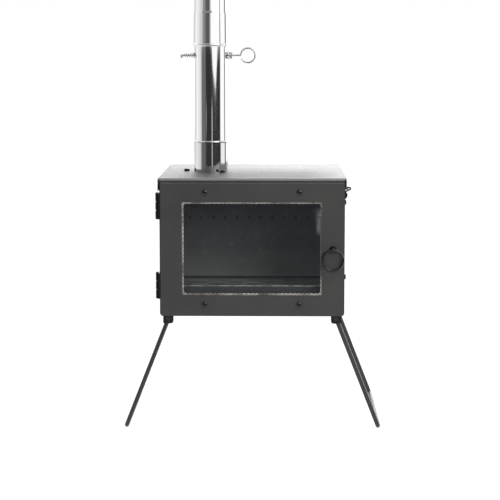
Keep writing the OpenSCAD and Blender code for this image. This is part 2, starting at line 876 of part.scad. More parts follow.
module door_panel() {
    mid = door_z + door_h / 2;
    color(BLACK) difference() {
        union() {
            along_y(face_y, sheet_t) translate([0, mid]) round_rect(door_w, door_h, door_corner_r);
            along_y(face_y, door_d) translate([0, mid])
                rect_ring(door_w, door_h, door_corner_r,
                    door_w - 2 * sheet_t, door_h - 2 * sheet_t, door_corner_r - 1);
        }
        along_y(face_y - cut, sheet_t + 2 * cut) translate([0, window_mid_z])
            round_rect(window_w, window_h, window_corner_r);
        door_screw_holes(face_y - cut, sheet_t + 2 * cut);
        rod_y(latch_x, face_y - cut, latch_axis_z, bush_r + run_clear, sheet_t + 2 * cut);
    }
}

module door_glass() {
    color(GLASS) along_y(glass_y, glass_t) translate([0, window_mid_z])
        round_rect(window_w + 2 * glass_margin, window_h + 2 * glass_margin, 4);
}

module glass_gasket() {
    color(FIBRE) along_y(skin_y, gasket_t) translate([0, window_mid_z])
        rect_ring(window_w + 2 * glass_margin, window_h + 2 * glass_margin, 4,
            window_w - 2 * gasket_show, window_h - 2 * gasket_show, 4);
}

module glass_retainer() {
    side_margin = 12;
    screw_margin = screw_out + 5;
    color(BLACK) difference() {
        along_y(retainer_y, retainer_t) translate([0, window_mid_z])
            rect_ring(window_w + 2 * side_margin, window_h + 2 * screw_margin, 6,
                window_w + 2, window_h + 2, 4);
        door_screw_holes(retainer_y - cut, retainer_t + 2 * cut);
    }
}

nut_y = retainer_y + retainer_t;
door_nut_t = 2.6;

module door_screws() {
    color(DARK) for (p = door_screws_at())
        translate([p[0], face_y, p[1]]) rotate([90, 0, 0])
            button_screw(6, 3, door_screw_r, nut_y + door_nut_t - face_y);
}

module door_nuts() {
    color(DARK) for (p = door_screws_at())
        translate([p[0], nut_y, p[1]]) rotate([-90, 0, 0])
            hex_nut(4, door_nut_t, door_screw_r + run_clear);
}

module door_seal() {
    w = door_w - 2 * seal_in;
    h = door_h - 2 * seal_in;
    color(FIBRE) along_y(skin_y, seal_d) translate([0, door_z + door_h / 2])
        rect_ring(w, h, door_corner_r + 3, w - 2 * seal_w, h - 2 * seal_w, door_corner_r);
}

// ---------------------------------------------------------------- hinges

knuckle_h = (hinge_h - 2 * knuckle_gap) / 3;

// Knuckle whose lower face is step knuckles above the hinge's lower end
module knuckle(mid, step) {
    translate([hinge_x, hinge_y, mid - hinge_h / 2 + step * (knuckle_h + knuckle_gap)])
        cylinder(r = knuckle_r, h = knuckle_h);
}

module pin_bore(mid) {
    translate([hinge_x, hinge_y, mid - hinge_h / 2 - cut])
        cylinder(r = hinge_pin_r + run_clear, h = hinge_h + 2 * cut);
}

module door_leaf(mid) {
    x = -half_w - leaf_t;
    y = face_y + 1;
    end_y = hinge_y - knuckle_r - leaf_gap;
    packing = half_w - door_w / 2;
    step_z = mid - hinge_h / 2 + knuckle_h + knuckle_gap;
    color(DARK) difference() {
        union() {
            translate([x, y, mid - hinge_h / 2]) cube([leaf_t + packing, end_y - y, hinge_h]);
            translate([x, y, step_z]) cube([leaf_t, hinge_y - y, knuckle_h]);
            knuckle(mid, 1);
        }
        pin_bore(mid);
    }
}

module casing_leaf(mid) {
    x = -half_w - leaf_t;
    y = hinge_y + knuckle_r + leaf_gap;
    end_y = hinge_y + leaf_len;
    color(DARK) difference() {
        union() {
            translate([x, y, mid - hinge_h / 2]) cube([leaf_t, end_y - y, hinge_h]);
            for (step = [0, 2]) {
                translate([x, hinge_y, mid - hinge_h / 2 + step * (knuckle_h + knuckle_gap)])
                    cube([leaf_t, knuckle_r + leaf_gap + cut, knuckle_h]);
                knuckle(mid, step);
            }
        }
        pin_bore(mid);
        hinge_rivet_holes();
    }
}

module hinge_pin(mid) {
    head_h = 1;
    translate([hinge_x, hinge_y, mid - hinge_h / 2 - head_h]) color(DARK) {
        cylinder(r = hinge_pin_r, h = hinge_h + 2 * head_h);
        translate([0, 0, hinge_h + head_h]) cylinder(r = hinge_pin_r + 0.8, h = head_h);
    }
}

module hinge_upper_door_leaf() { door_leaf(door_z + hinge_up_z); }
module hinge_upper_casing_leaf() { casing_leaf(door_z + hinge_up_z); }
module hinge_upper_pin() { hinge_pin(door_z + hinge_up_z); }
module hinge_lower_door_leaf() { door_leaf(door_z + hinge_low_z); }
module hinge_lower_casing_leaf() { casing_leaf(door_z + hinge_low_z); }
module hinge_lower_pin() { hinge_pin(door_z + hinge_low_z); }

module hinge_rivets() {
    grip = leaf_t + 2 * sheet_t + frame_clear + 1;
    color(DARK) for (p = hinge_rivets_at())
        translate([-half_w - leaf_t, p[0], p[1]]) rotate([0, -90, 0]) rivet(3.6, 1.5, rivet_r, grip);
}

// ---------------------------------------------------------------- latch

bush_flange_t = 0.8;

module latch_bush() {
    end_y = cam_y - soft_gap;
    color(DARK) difference() {
        union() {
            rod_y(latch_x, face_y - bush_flange_t, latch_axis_z, bush_r, end_y - face_y + bush_flange_t);
            rod_y(latch_x, face_y - bush_flange_t, latch_axis_z, bush_r + 1.8, bush_flange_t);
        }
        rod_y(latch_x, face_y - 2 * cut, latch_axis_z, latch_r + run_clear, end_y - face_y + 4 * cut);
    }
}

module latch_eye() {
    collar_t = 1.2;
    collar_y = face_y - bush_flange_t - soft_gap - collar_t;
    end_y = cam_y + cam_t + latch_nut_t + 0.8;
    color(DARK) difference() {
        union() {
            intersection() {
                translate([latch_x, eye_y, latch_axis_z]) sphere(r = eye_r);
                translate([latch_x - eye_t / 2, eye_y - eye_r, latch_axis_z - eye_r])
                    cube([eye_t, 2 * eye_r, 2 * eye_r]);
            }
            rod_y(latch_x, eye_y + eye_r - 1.5, latch_axis_z, latch_r, end_y - eye_y - eye_r + 1.5);
            rod_y(latch_x, collar_y, latch_axis_z, bush_r, collar_t);
        }
        rod_x(latch_x - eye_t, eye_y, latch_axis_z, eye_bore_r, 2 * eye_t);
    }
}

// The cam hangs down beside the frame's mouth, clear of the frame, until the latch is turned
module latch_cam() {
    color(DARK) difference() {
        along_y(cam_y, cam_t) translate([latch_x, latch_axis_z]) {
            circle(r = cam_half);
            translate([-cam_half, -cam_len]) square([2 * cam_half, cam_len]);
        }
        rod_y(latch_x, cam_y - cut, latch_axis_z, latch_r + run_clear / 2, cam_t + 2 * cut);
    }
}

module latch_nut() {
    color(DARK) translate([latch_x, cam_y + cam_t, latch_axis_z]) rotate([-90, 0, 0])
        hex_nut(5, latch_nut_t, latch_r + run_clear / 2);
}

module ring_handle() {
    color(DARK) translate([latch_x, eye_y, latch_axis_z - ring_r]) rotate([90, 0, 0])
        rotate_extrude($fn = 96) translate([ring_r, 0]) circle(r = ring_wire_r, $fn = 32);
}

// ---------------------------------------------------------------- legs

// Half of a leg: one arm, its pivot end and half of the foot bar, with the
// pivot at the origin's height and the foot bar's middle at y = 0
module half_leg() {
    half_bar = (arm_back_y - arm_front_y) / 2;
    pin_len = 3 + bracket_t + 1.5;
    translate([0, -half_bar, -pivot_bend_r]) rotate([180, 0, 0]) rod_bend(pivot_bend_r, leg_r);
    rod_y(0, -half_bar - pivot_bend_r - pin_len, 0, leg_r, pin_len);
    translate([0, -half_bar, -(arm_len - foot_bend_r)])
        cylinder(r = leg_r, h = arm_len - foot_bend_r - pivot_bend_r);
    translate([0, -half_bar, -(arm_len - foot_bend_r)]) rod_bend(foot_bend_r, leg_r);
    rod_y(0, -half_bar + foot_bend_r, -arm_len, leg_r, half_bar - foot_bend_r);
}

module leg(side) {
    color(ROD) translate([side * pivot_x, mid_y, pivot_z]) rotate([0, -side * leg_splay, 0]) {
        half_leg();
        mirror([0, 1, 0]) half_leg();
    }
}

module leg_left() { leg(-1); }
module leg_right() { leg(1); }

// Front left bracket, with the pivot at the origin and the arm at y = 0
module bracket_shape() {
    lip = lip_x - pivot_x;
    plate_y = -pin_out - bracket_t;
    outer_r = 2;
    difference() {
        union() {
            along_y(plate_y, bracket_t) {
                translate([-lip - bracket_t, -bracket_drop + bracket_corner_r])
                    square([lip + bracket_t + bracket_inner, bracket_drop + pivot_drop - bracket_corner_r]);
                translate([-lip - bracket_t + outer_r, -bracket_drop])
                    square([lip + bracket_t + bracket_inner - outer_r - bracket_corner_r, bracket_corner_r]);
                translate([-lip - bracket_t, -bracket_drop + outer_r])
                    square([2 * outer_r, bracket_corner_r]);
                translate([-lip - bracket_t + outer_r, -bracket_drop + outer_r]) circle(r = outer_r);
                translate([bracket_inner - bracket_corner_r, -bracket_drop + bracket_corner_r])
                    circle(r = bracket_corner_r);
            }
            translate([-lip - bracket_t, plate_y, -bracket_drop + outer_r])
                cube([bracket_t, pin_out + bracket_t + leg_r + 3, bracket_drop + pivot_drop - outer_r]);
            translate([-lip - bracket_t, plate_y, pivot_drop - bracket_t])
                cube([lip + bracket_t + bracket_inner, bracket_len, bracket_t]);
        }
        rod_y(0, plate_y - cut, 0, leg_r + run_clear, bracket_t + 2 * cut);
        for (p = bracket_rivets_at) translate([p[0], p[1], pivot_drop - bracket_t - cut])
            cylinder(r = rivet_r + hole_clear, h = bracket_t + 2 * cut);
    }
}

// Puts a shape made for the front left corner at the corner side, end
module at_pivot(side, end) {
    translate([side * pivot_x, mid_y, pivot_z])
        mirror([side > 0 ? 1 : 0, 0, 0]) mirror([0, end > 0 ? 1 : 0, 0])
            translate([0, -(arm_back_y - arm_front_y) / 2, 0]) children();
}

module bracket_front_left() { color(DARK) at_pivot(-1, -1) bracket_shape(); }
module bracket_front_right() { color(DARK) at_pivot(1, -1) bracket_shape(); }
module bracket_rear_left() { color(DARK) at_pivot(-1, 1) bracket_shape(); }
module bracket_rear_right() { color(DARK) at_pivot(1, 1) bracket_shape(); }

module bracket_rivets() {
    color(DARK) for (side = [-1, 1], end = [-1, 1], p = bracket_rivets_at)
        at_pivot(side, end) translate([p[0], p[1], pivot_drop - bracket_t]) rotate([180, 0, 0])
            rivet(3.4, 1.4, rivet_r, bracket_t + sheet_t + 1);
}

// ---------------------------------------------------------------- air shutter

module air_shutter() {
    z = casing_z + air_z;
    color(DARK) difference() {
        translate([-shutter_x - shutter_t, mid_y - shutter_len / 2, z - shutter_h / 2])
            cube([shutter_t, shutter_len, shutter_h]);
        air_holes(travel, -shutter_x - shutter_t - cut, shutter_t + 2 * cut);
    }
}

module shutter_knob() {
    stem_r = 2.2;
    knob_len = 8;
    start = shutter_x + shutter_t;
    color(STEEL) {
        rod_x(-half_w - knob_reach + 1, mid_y, casing_z + air_z, stem_r, knob_reach - 1 - start + half_w);
        rod_x(-half_w - knob_reach, mid_y, casing_z + air_z, knob_r, knob_len);
        rod_x(-half_w - knob_reach + knob_len, mid_y, casing_z + air_z, knob_r - 1.5, 1.5);
    }
}

// Upper guide's profile, measured from the casing's side and the shutter's middle
module guide_profile() {
    hook_x = shutter_gap + shutter_t + shutter_gap;
    polygon([
        [0, guide_edge],
        [0, guide_edge + guide_t + guide_foot],
        [-guide_t, guide_edge + guide_t + guide_foot],
        [-guide_t, guide_edge + guide_t],
        [-hook_x - guide_t, guide_edge + guide_t],
        [-hook_x - guide_t, guide_edge - guide_lap],
        [-hook_x, guide_edge - guide_lap],
        [-hook_x, guide_edge]
    ]);
}

module shutter_guides() {
    color(DARK) difference() {
        translate([-half_w, 0, casing_z + air_z]) for (m = [0, 1])
            mirror([0, 0, m]) along_y(mid_y - guide_half, 2 * guide_half) guide_profile();
        for (p = guide_rivets_at)
            rod_x(-half_w - guide_t - cut, p[0], p[1], guide_rivet_r + hole_clear, guide_t + 2 * cut);
    }
}

module shutter_rivets() {
    color(DARK) for (p = guide_rivets_at)
        translate([-half_w - guide_t, p[0], p[1]]) rotate([0, -90, 0])
            rivet(2.3, 1.1, guide_rivet_r, guide_t + sheet_t + 0.8);
}

// ---------------------------------------------------------------- shelf eyes

module shelf_eye(y) {
    arm_top = 4.5;
    z = top_z - lid_flange_h - shelf_gap + arm_top;
    color(DARK) along_y(y, shelf_len) translate([half_w, z]) difference() {
        union() {
            translate([shelf_out, 0]) circle(r = shelf_eye_r);
            polygon([
                [0, -18], [1.6, -17.5], [3.8, -14.5], [4.6, -11], [3.8, -8], [2, -6.6],
                [shelf_out, -shelf_eye_r], [shelf_out, -shelf_bore_r], [3.6, -arm_top], [0, -arm_top]
            ]);
        }
        translate([shelf_out, 0]) circle(r = shelf_bore_r);
    }
}

module shelf_eye_front() { shelf_eye(front_y + 3); }
module shelf_eye_rear() { shelf_eye(back_y - 3 - shelf_len); }

// ---------------------------------------------------------------- drawing

casing_shell();
front_frame();
back_panel();
lid();
air_baffle();
log_guard();
grate();
flue_collar();
collar_screws();
collar_nuts();
damper_pipe();
upper_pipe();
damper_plate();
damper_rod();
damper_spring();
damper_cuff();
damper_washers();
door_panel();
door_glass();
glass_gasket();
glass_retainer();
door_screws();
door_nuts();
door_seal();
hinge_upper_door_leaf();
hinge_upper_casing_leaf();
hinge_upper_pin();
hinge_lower_door_leaf();
hinge_lower_casing_leaf();
hinge_lower_pin();
hinge_rivets();
latch_eye();
latch_bush();
latch_cam();
latch_nut();
ring_handle();
leg_left();
leg_right();
bracket_front_left();
bracket_front_right();
bracket_rear_left();
bracket_rear_right();
bracket_rivets();
air_shutter();
shutter_guides();
shutter_rivets();
shutter_knob();
shelf_eye_front();
shelf_eye_rear();
side_screws();
side_nuts();
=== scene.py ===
"""Tent wood stove: finishes, rounded sheet metal, flue, springs, gaskets, studio and camera.

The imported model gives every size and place. Each sub-assembly is a class that
holds its sizes in metres, builds its meshes in the shared frame and dresses them.
"""

from __future__ import annotations

import logging
import math
from dataclasses import dataclass
from enum import Enum
from typing import Iterable, Sequence
import bmesh  # noqa: E402
import bpy  # noqa: E402
from bmesh.types import BMEdge, BMesh, BMVert  # noqa: E402
from bpy.types import Material, Mesh, Node, NodeSocket, NodeTree, Object, World  # noqa: E402
from mathutils import Matrix, Vector  # noqa: E402


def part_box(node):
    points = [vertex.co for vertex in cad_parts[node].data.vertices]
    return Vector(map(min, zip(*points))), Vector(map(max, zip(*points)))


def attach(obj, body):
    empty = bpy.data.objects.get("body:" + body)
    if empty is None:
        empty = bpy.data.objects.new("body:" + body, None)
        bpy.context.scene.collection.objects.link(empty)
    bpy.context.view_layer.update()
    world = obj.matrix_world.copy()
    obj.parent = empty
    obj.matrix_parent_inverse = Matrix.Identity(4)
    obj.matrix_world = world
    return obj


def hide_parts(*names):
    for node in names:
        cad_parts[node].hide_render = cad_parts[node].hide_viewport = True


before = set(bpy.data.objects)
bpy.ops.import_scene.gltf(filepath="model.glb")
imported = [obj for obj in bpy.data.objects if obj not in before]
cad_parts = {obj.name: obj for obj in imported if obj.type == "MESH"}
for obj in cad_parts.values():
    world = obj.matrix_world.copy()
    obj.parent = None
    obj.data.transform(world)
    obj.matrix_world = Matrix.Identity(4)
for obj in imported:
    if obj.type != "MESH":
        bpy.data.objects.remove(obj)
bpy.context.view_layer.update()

LOG = logging.getLogger("tent_stove")
MM = 0.001
WHITE = (1.0, 1.0, 1.0, 1.0)
Number = float | NodeSocket
Inputs = dict[str | int, object]
BEVEL = {"offset_type": "OFFSET", "profile": 0.5, "affect": "EDGES"}


class Body(Enum):
    """The bodies that the pieces ride on."""

    CASING = "casing"
    DOOR = "door"
    LATCH = "latch"
    RING = "ring"
    LEFT_LEG = "left_leg"
    RIGHT_LEG = "right_leg"
    SHUTTER = "shutter"
    GRATE = "fire_grate"
    LOWER_FLUE = "lower_flue"
    DAMPER = "damper"
    UPPER_FLUE = "upper_flue"


class Slot(Enum):
    """The record's material slots."""

    ENAMEL = "black_enamel"
    FIREBOX = "firebox_steel"
    FITTINGS = "black_fittings"
    SCREWS = "black_screws"
    ROD = "leg_rod"
    POLISHED = "polished_steel"
    WIRE = "steel_wire"
    GLASS = "fire_glass"
    FIBRE = "glass_fibre"


# ---------------- node helpers


def linear(hex_colour: str) -> tuple[float, float, float, float]:
    """Turns an sRGB hex colour into linear RGBA.

    Args:
        hex_colour: Colour such as "#474747".

    Returns:
        The linear colour with full alpha.
    """
    channels = [int(hex_colour[i : i + 2], 16) / 255 for i in (1, 3, 5)]
    red, green, blue = (
        c / 12.92 if c <= 0.04045 else ((c + 0.055) / 1.055) ** 2.4 for c in channels
    )
    return red, green, blue, 1.0


def fill(node: Node, inputs: Inputs) -> None:
    """Fills a node's inputs.

    Args:
        node: The node.
        inputs: Constant, source socket, or source node of each input, by name or number. Of a
            source node the first output is taken.
    """
    for key, value in inputs.items():
        source = value.outputs[0] if isinstance(value, Node) else value
        if isinstance(source, NodeSocket):
            node.id_data.links.new(source, node.inputs[key])
        else:
            node.inputs[key].default_value = source


def add_node(
    tree: NodeTree, kind: str, inputs: Inputs | None = None, **settings: object
) -> Node:
    """Adds one node with its settings and inputs.

    Args:
        tree: Tree that gets the node.
        kind: Blender's node type.
        inputs: Its inputs, as fill takes them.
        settings: Attributes set on the node itself.

    Returns:
        The new node.
    """
    node = tree.nodes.new(kind)
    for key, value in settings.items():
        setattr(node, key, value)
    fill(node, inputs or {})
    return node


def empty_tree(owner: Material | World) -> NodeTree:
    """Gives a material or world an empty node tree and returns the tree."""
    owner.use_nodes = True
    owner.node_tree.nodes.clear()
    return owner.node_tree


def new_material(name: str) -> tuple[Material, NodeTree, Node]:
    """Makes a material of one Principled shader and returns it, its tree and its shader."""
    material = bpy.data.materials.new(name)
    tree = empty_tree(material)
    shader = add_node(tree, "ShaderNodeBsdfPrincipled")
    add_node(tree, "ShaderNodeOutputMaterial", {"Surface": shader})
    return material, tree, shader


def noise(
    tree: NodeTree,
    grain: float,
    stretch: Sequence[float] = (1, 1, 1),
    detail: float = 2.0,
    rough: float = 0.5,
) -> NodeSocket:
    """Adds a noise on Object coordinates.

    Args:
        tree: Tree that gets the nodes.
        grain: Size of one grain in metres.
        stretch: How many times longer a grain is along each axis.
        detail: Octaves of the noise.
        rough: How strong the finer octaves are.

    Returns:
        The noise's value socket.
    """
    place = add_node(tree, "ShaderNodeTexCoord").outputs["Object"]
    scale = [1 / (grain * s) for s in stretch]
    turned = add_node(tree, "ShaderNodeMapping", {"Scale": scale, "Vector": place})
    inputs = {"Vector": turned, "Scale": 1.0, "Detail": detail, "Roughness": rough}
    return add_node(tree, "ShaderNodeTexNoise", inputs).outputs["Fac"]


def coordinates(tree: NodeTree) -> tuple[NodeSocket, NodeSocket, NodeSocket]:
    """Splits the Object coordinates and returns the X, Y and Z sockets."""
    place = add_node(tree, "ShaderNodeTexCoord").outputs["Object"]
    split = add_node(tree, "ShaderNodeSeparateXYZ", {0: place})
    return split.outputs["X"], split.outputs["Y"], split.outputs["Z"]


def ramp(
    tree: NodeTree, source: NodeSocket, low: float, high: float, start: float, end: float
) -> NodeSocket:
    """Maps a value from low..high to start..end, held at both ends."""
    inputs = {0: source, "From Min": low, "From Max": high, "To Min": start, "To Max": end}
    return add_node(tree, "ShaderNodeMapRange", inputs).outputs[0]


def calc(tree: NodeTree, operation: str, first: Number, second: Number = 0.0) -> NodeSocket:
    """Adds a Math node on two numbers or sockets and returns its value."""
    return add_node(tree, "ShaderNodeMath", {0: first, 1: second}, operation=operation).outputs[0]


def product(tree: NodeTree, first: Number, *others: Number) -> NodeSocket:
    """Multiplies numbers and sockets and returns the product's socket."""
    for other in others:
        first = calc(tree, "MULTIPLY", first, other)
    return first


def blend(tree: NodeTree, factor: NodeSocket, first: Number, second: float) -> NodeSocket:
    """Goes from a number or socket to a number by a factor socket."""
    inputs = {0: factor, 2: first, 3: second}
    return add_node(tree, "ShaderNodeMix", inputs, data_type="FLOAT").outputs[0]


def mix_colour(
    tree: NodeTree, factor: NodeSocket, first: str | NodeSocket, second: str | NodeSocket
) -> NodeSocket:
    """Mixes two colours, each a hex colour or a socket, by a factor socket."""
    first, second = (linear(c) if isinstance(c, str) else c for c in (first, second))
    inputs = {0: factor, 6: first, 7: second}
    return add_node(tree, "ShaderNodeMix", inputs, data_type="RGBA").outputs[2]


def bump(tree: NodeTree, shader: Node, height: NodeSocket, distance: float) -> None:
    """Gives the shader a bump of that height in metres."""
    inputs = {"Strength": 1.0, "Distance": distance, "Height": height}
    fill(shader, {"Normal": add_node(tree, "ShaderNodeBump", inputs)})


# ---------------- finishes


@dataclass(frozen=True)
class HeatPaint:
    """Matt silicone heat paint, sprayed and baked on sheet steel.

    It gives the eye a soft dark grey with a faint orange peel, small cloudy
    changes of shade, and a pale sheen where it is seen along the surface.

    Attributes:
        name: The material's name.
        colour: Main shade.
        cloud: Shade of the spray clouds.
        roughness: Middle roughness.
        peel: Height of the orange peel.
        dust_and_painted_light: Colour of dust, and of the painted light low on a wall above the
            grate; nothing for none.
        foot_z: Height of the grate, above which a wall gets painted light and a painted shadow
            line, 0 for none.
        edge_top_z: Top of a fence whose top edge gets a painted highlight in dashes, 0 for none.
        dull: Roughness that the fire adds over the firebox.
        fold_y: Back edge of the lid's front fold, which gets a painted highlight.
        fold_z: Top of that fold, 0 for no painted highlight.
    """

    name: str
    colour: str
    cloud: str
    roughness: float = 0.5
    peel: float = 0.03 * MM
    dust_and_painted_light: str = ""
    foot_z: float = 0.0
    edge_top_z: float = 0.0
    dull: float = 0.0
    fold_y: float = 0.0
    fold_z: float = 0.0

    def make(self) -> Material:
        """Builds the material and returns it."""
        material, tree, shader = new_material(self.name)
        # Spray clouds are about 60 mm across, and the peel is drawn 1.4 mm wide:
        # the real 0.5 mm one would be finer than a pixel.
        clouds = ramp(tree, noise(tree, 60 * MM, detail=3.0), 0.3, 0.7, 0, 1)
        shade = mix_colour(tree, clouds, self.colour, self.cloud)
        if self.dust_and_painted_light:
            dust = noise(tree, 18 * MM, detail=6.0, rough=0.65)
            shade = mix_colour(tree, ramp(tree, dust, 0.52, 0.78, 0, 0.5), shade, self.dust_and_painted_light)
        # The wall's foot gets painted light and a painted shadow line.
        if self.foot_z:
            shade = self.paint_foot_light_and_shadow(tree, shade)
        # The fence's top edge gets a painted highlight in dashes.
        if self.edge_top_z:
            shade = self.paint_edge_highlight(tree, shade)
        # The lid's front fold gets a painted highlight.
        if self.fold_z:
            shade = self.painted_fold_highlight(tree, shade)
        specks = noise(tree, 4.5 * MM, detail=4.0)
        rough = ramp(tree, specks, 0.25, 0.75, self.roughness - 0.06, self.roughness + 0.06)
        if self.dull:
            rough = calc(tree, "ADD", rough, product(tree, self.hot_area(tree), self.dull))
        fill(shader, {"Base Color": shade, "Roughness": rough})
        bump(tree, shader, noise(tree, 1.4 * MM), self.peel)
        return material

    def paint_foot_light_and_shadow(self, tree: NodeTree, shade: NodeSocket) -> NodeSocket:
        """Paints light on a wall, palest at the grate and fading out 60 mm above it, and a painted
        shadow line 3 mm high at its foot.
        """
        above = calc(tree, "SUBTRACT", coordinates(tree)[2], self.foot_z)
        # Painted light, palest at the foot of the wall.
        shade = mix_colour(tree, ramp(tree, above, 0, 60 * MM, 0.8, 0), shade, self.dust_and_painted_light)
        # Painted shadow: a dark line where the wall meets the grate.
        return mix_colour(tree, ramp(tree, above, 3 * MM, 5 * MM, 0.9, 0), shade, "#262625")

    def paint_edge_highlight(self, tree: NodeTree, shade: NodeSocket) -> NodeSocket:
        """Paints a highlight in pale dashes on a band 1 to 3 mm below the fence's top, where its
        top edge catches light.
        """
        below = calc(tree, "SUBTRACT", self.edge_top_z, coordinates(tree)[2])
        foot = ramp(tree, below, 2.4 * MM, 3.0 * MM, 1, 0)
        top = ramp(tree, below, 0.7 * MM, 1.2 * MM, 0, 1)
        dashes = ramp(tree, noise(tree, 12 * MM, (1, 9, 9), detail=3.0), 0.38, 0.52, 0.35, 1)
        # Painted highlight of the fence's top edge.
        return mix_colour(tree, product(tree, foot, top, dashes), shade, "#A9A7A1")

    def painted_fold_highlight(self, tree: NodeTree, shade: NodeSocket) -> NodeSocket:
        """Paints a highlight on the front fold, palest towards its top, where the bend catches
        light.
        """
        _, along, height = coordinates(tree)
        front = ramp(tree, along, self.fold_y - MM, self.fold_y + 2 * MM, 1, 0)
        below = calc(tree, "SUBTRACT", self.fold_z, height)
        pale = ramp(tree, below, 3 * MM, 6.5 * MM, 1, 0.35)
        # Painted highlight: the fold drawn pale grey where its bend catches light.
        return mix_colour(tree, product(tree, front, pale), shade, "#999996")

    def hot_area(self, tree: NodeTree) -> NodeSocket:
        """Gives 1 where the fire has dulled the lid, over the front of the firebox, else 0."""
        across, along, _ = coordinates(tree)
        drift = ramp(tree, noise(tree, 50 * MM, (6, 1, 1), detail=3.0), 0.3, 0.7, -0.02, 0.02)
        sides = ramp(tree, calc(tree, "ABSOLUTE", across), 0.09, 0.155, 1, 0.15)
        back = ramp(tree, calc(tree, "ADD", along, drift), -0.06, 0.10, 1, 0)
        fold = ramp(tree, along, self.fold_y, self.fold_y + 6 * MM, 0, 1)
        return product(tree, sides, back, fold)


@dataclass(frozen=True)
class BlackFitting:
    """Blackened steel of hinges, brackets and screws.

    Chemically blackened and oiled: near black, a little glossier than the
    paint, with rubbed spots that shine.
    """

    name: str
    colour: str
    rubbed: str
    roughness: float

    def make(self) -> Material:
        """Builds the material and returns it."""
        material, tree, shader = new_material(self.name)
        wear = noise(tree, 5 * MM, detail=5.0, rough=0.6)
        shade = mix_colour(tree, ramp(tree, wear, 0.5, 0.75, 0, 1), self.colour, self.rubbed)
        rough = ramp(tree, wear, 0.3, 0.7, self.roughness + 0.05, self.roughness - 0.1)
        fill(shader, {"Base Color": shade, "Roughness": rough})
        bump(tree, shader, noise(tree, 0.9 * MM), 0.01 * MM)
        return material


@dataclass(frozen=True)
class PolishedTube:
    """Stainless tube, mirror-polished with a buffing wheel.

    It reflects the room in long vertical stripes, broken a little by the
    buffing lines that run around it and by faint wipe marks.
    """

    name: str
    colour: str
    roughness: float = 0.035

    def make(self) -> Material:
        """Builds the material and returns it."""
        material, tree, shader = new_material(self.name)
        wipes = noise(tree, 20 * MM, (1, 1, 4), detail=3.0)
        rough = ramp(tree, wipes, 0.35, 0.75, self.roughness, self.roughness + 0.04)
        fill(shader, {"Metallic": 1.0, "Base Color": linear(self.colour), "Roughness": rough})
        # Buffing lines are 0.8 mm apart and very shallow.
        bump(tree, shader, noise(tree, 0.8 * MM, (60, 60, 1)), 0.0006 * MM)
        return material


@dataclass(frozen=True)
class DrawnWire:
    """Stainless wire and small turned parts, drawn and left bright."""

    name: str
    colour: str
    streak: str
    roughness: float

    def make(self) -> Material:
        """Builds the material and returns it."""
        material, tree, shader = new_material(self.name)
        tone = noise(tree, 3 * MM, detail=3.0)
        shade = mix_colour(tree, tone, self.colour, self.streak)
        rough = ramp(tree, tone, 0.3, 0.7, self.roughness - 0.05, self.roughness + 0.08)
        fill(shader, {"Metallic": 1.0, "Base Color": shade, "Roughness": rough})
        bump(tree, shader, noise(tree, 0.6 * MM), 0.004 * MM)
        return material


@dataclass(frozen=True)
class StoveGlass:
    """Ceramic stove glass, rolled flat and 4 mm thick, with a slight cool tint."""

    name: str
    colour: str
    sheen: str

    def make(self) -> Material:
        """Builds the material and returns it."""
        material, tree, shader = new_material(self.name)
        film = noise(tree, 50 * MM, (1, 1, 2), detail=4.0)
        values = {
            "Base Color": linear(self.colour),
            "Transmission Weight": 1.0,
            "IOR": 1.54,
            "Specular Tint": linear(self.sheen),
            "Roughness": ramp(tree, film, 0.4, 0.8, 0.0, 0.05),
        }
        fill(shader, values)
        # Light falls through the pane without a shadow, so that the lamps reach the firebox.
        shadow = add_node(tree, "ShaderNodeLightPath").outputs["Is Shadow Ray"]
        clear = add_node(tree, "ShaderNodeBsdfTransparent", {"Color": linear(self.colour)})
        both = add_node(tree, "ShaderNodeMixShader", {0: shadow, 1: shader, 2: clear})
        fill(tree.nodes["Material Output"], {"Surface": both})
        return material


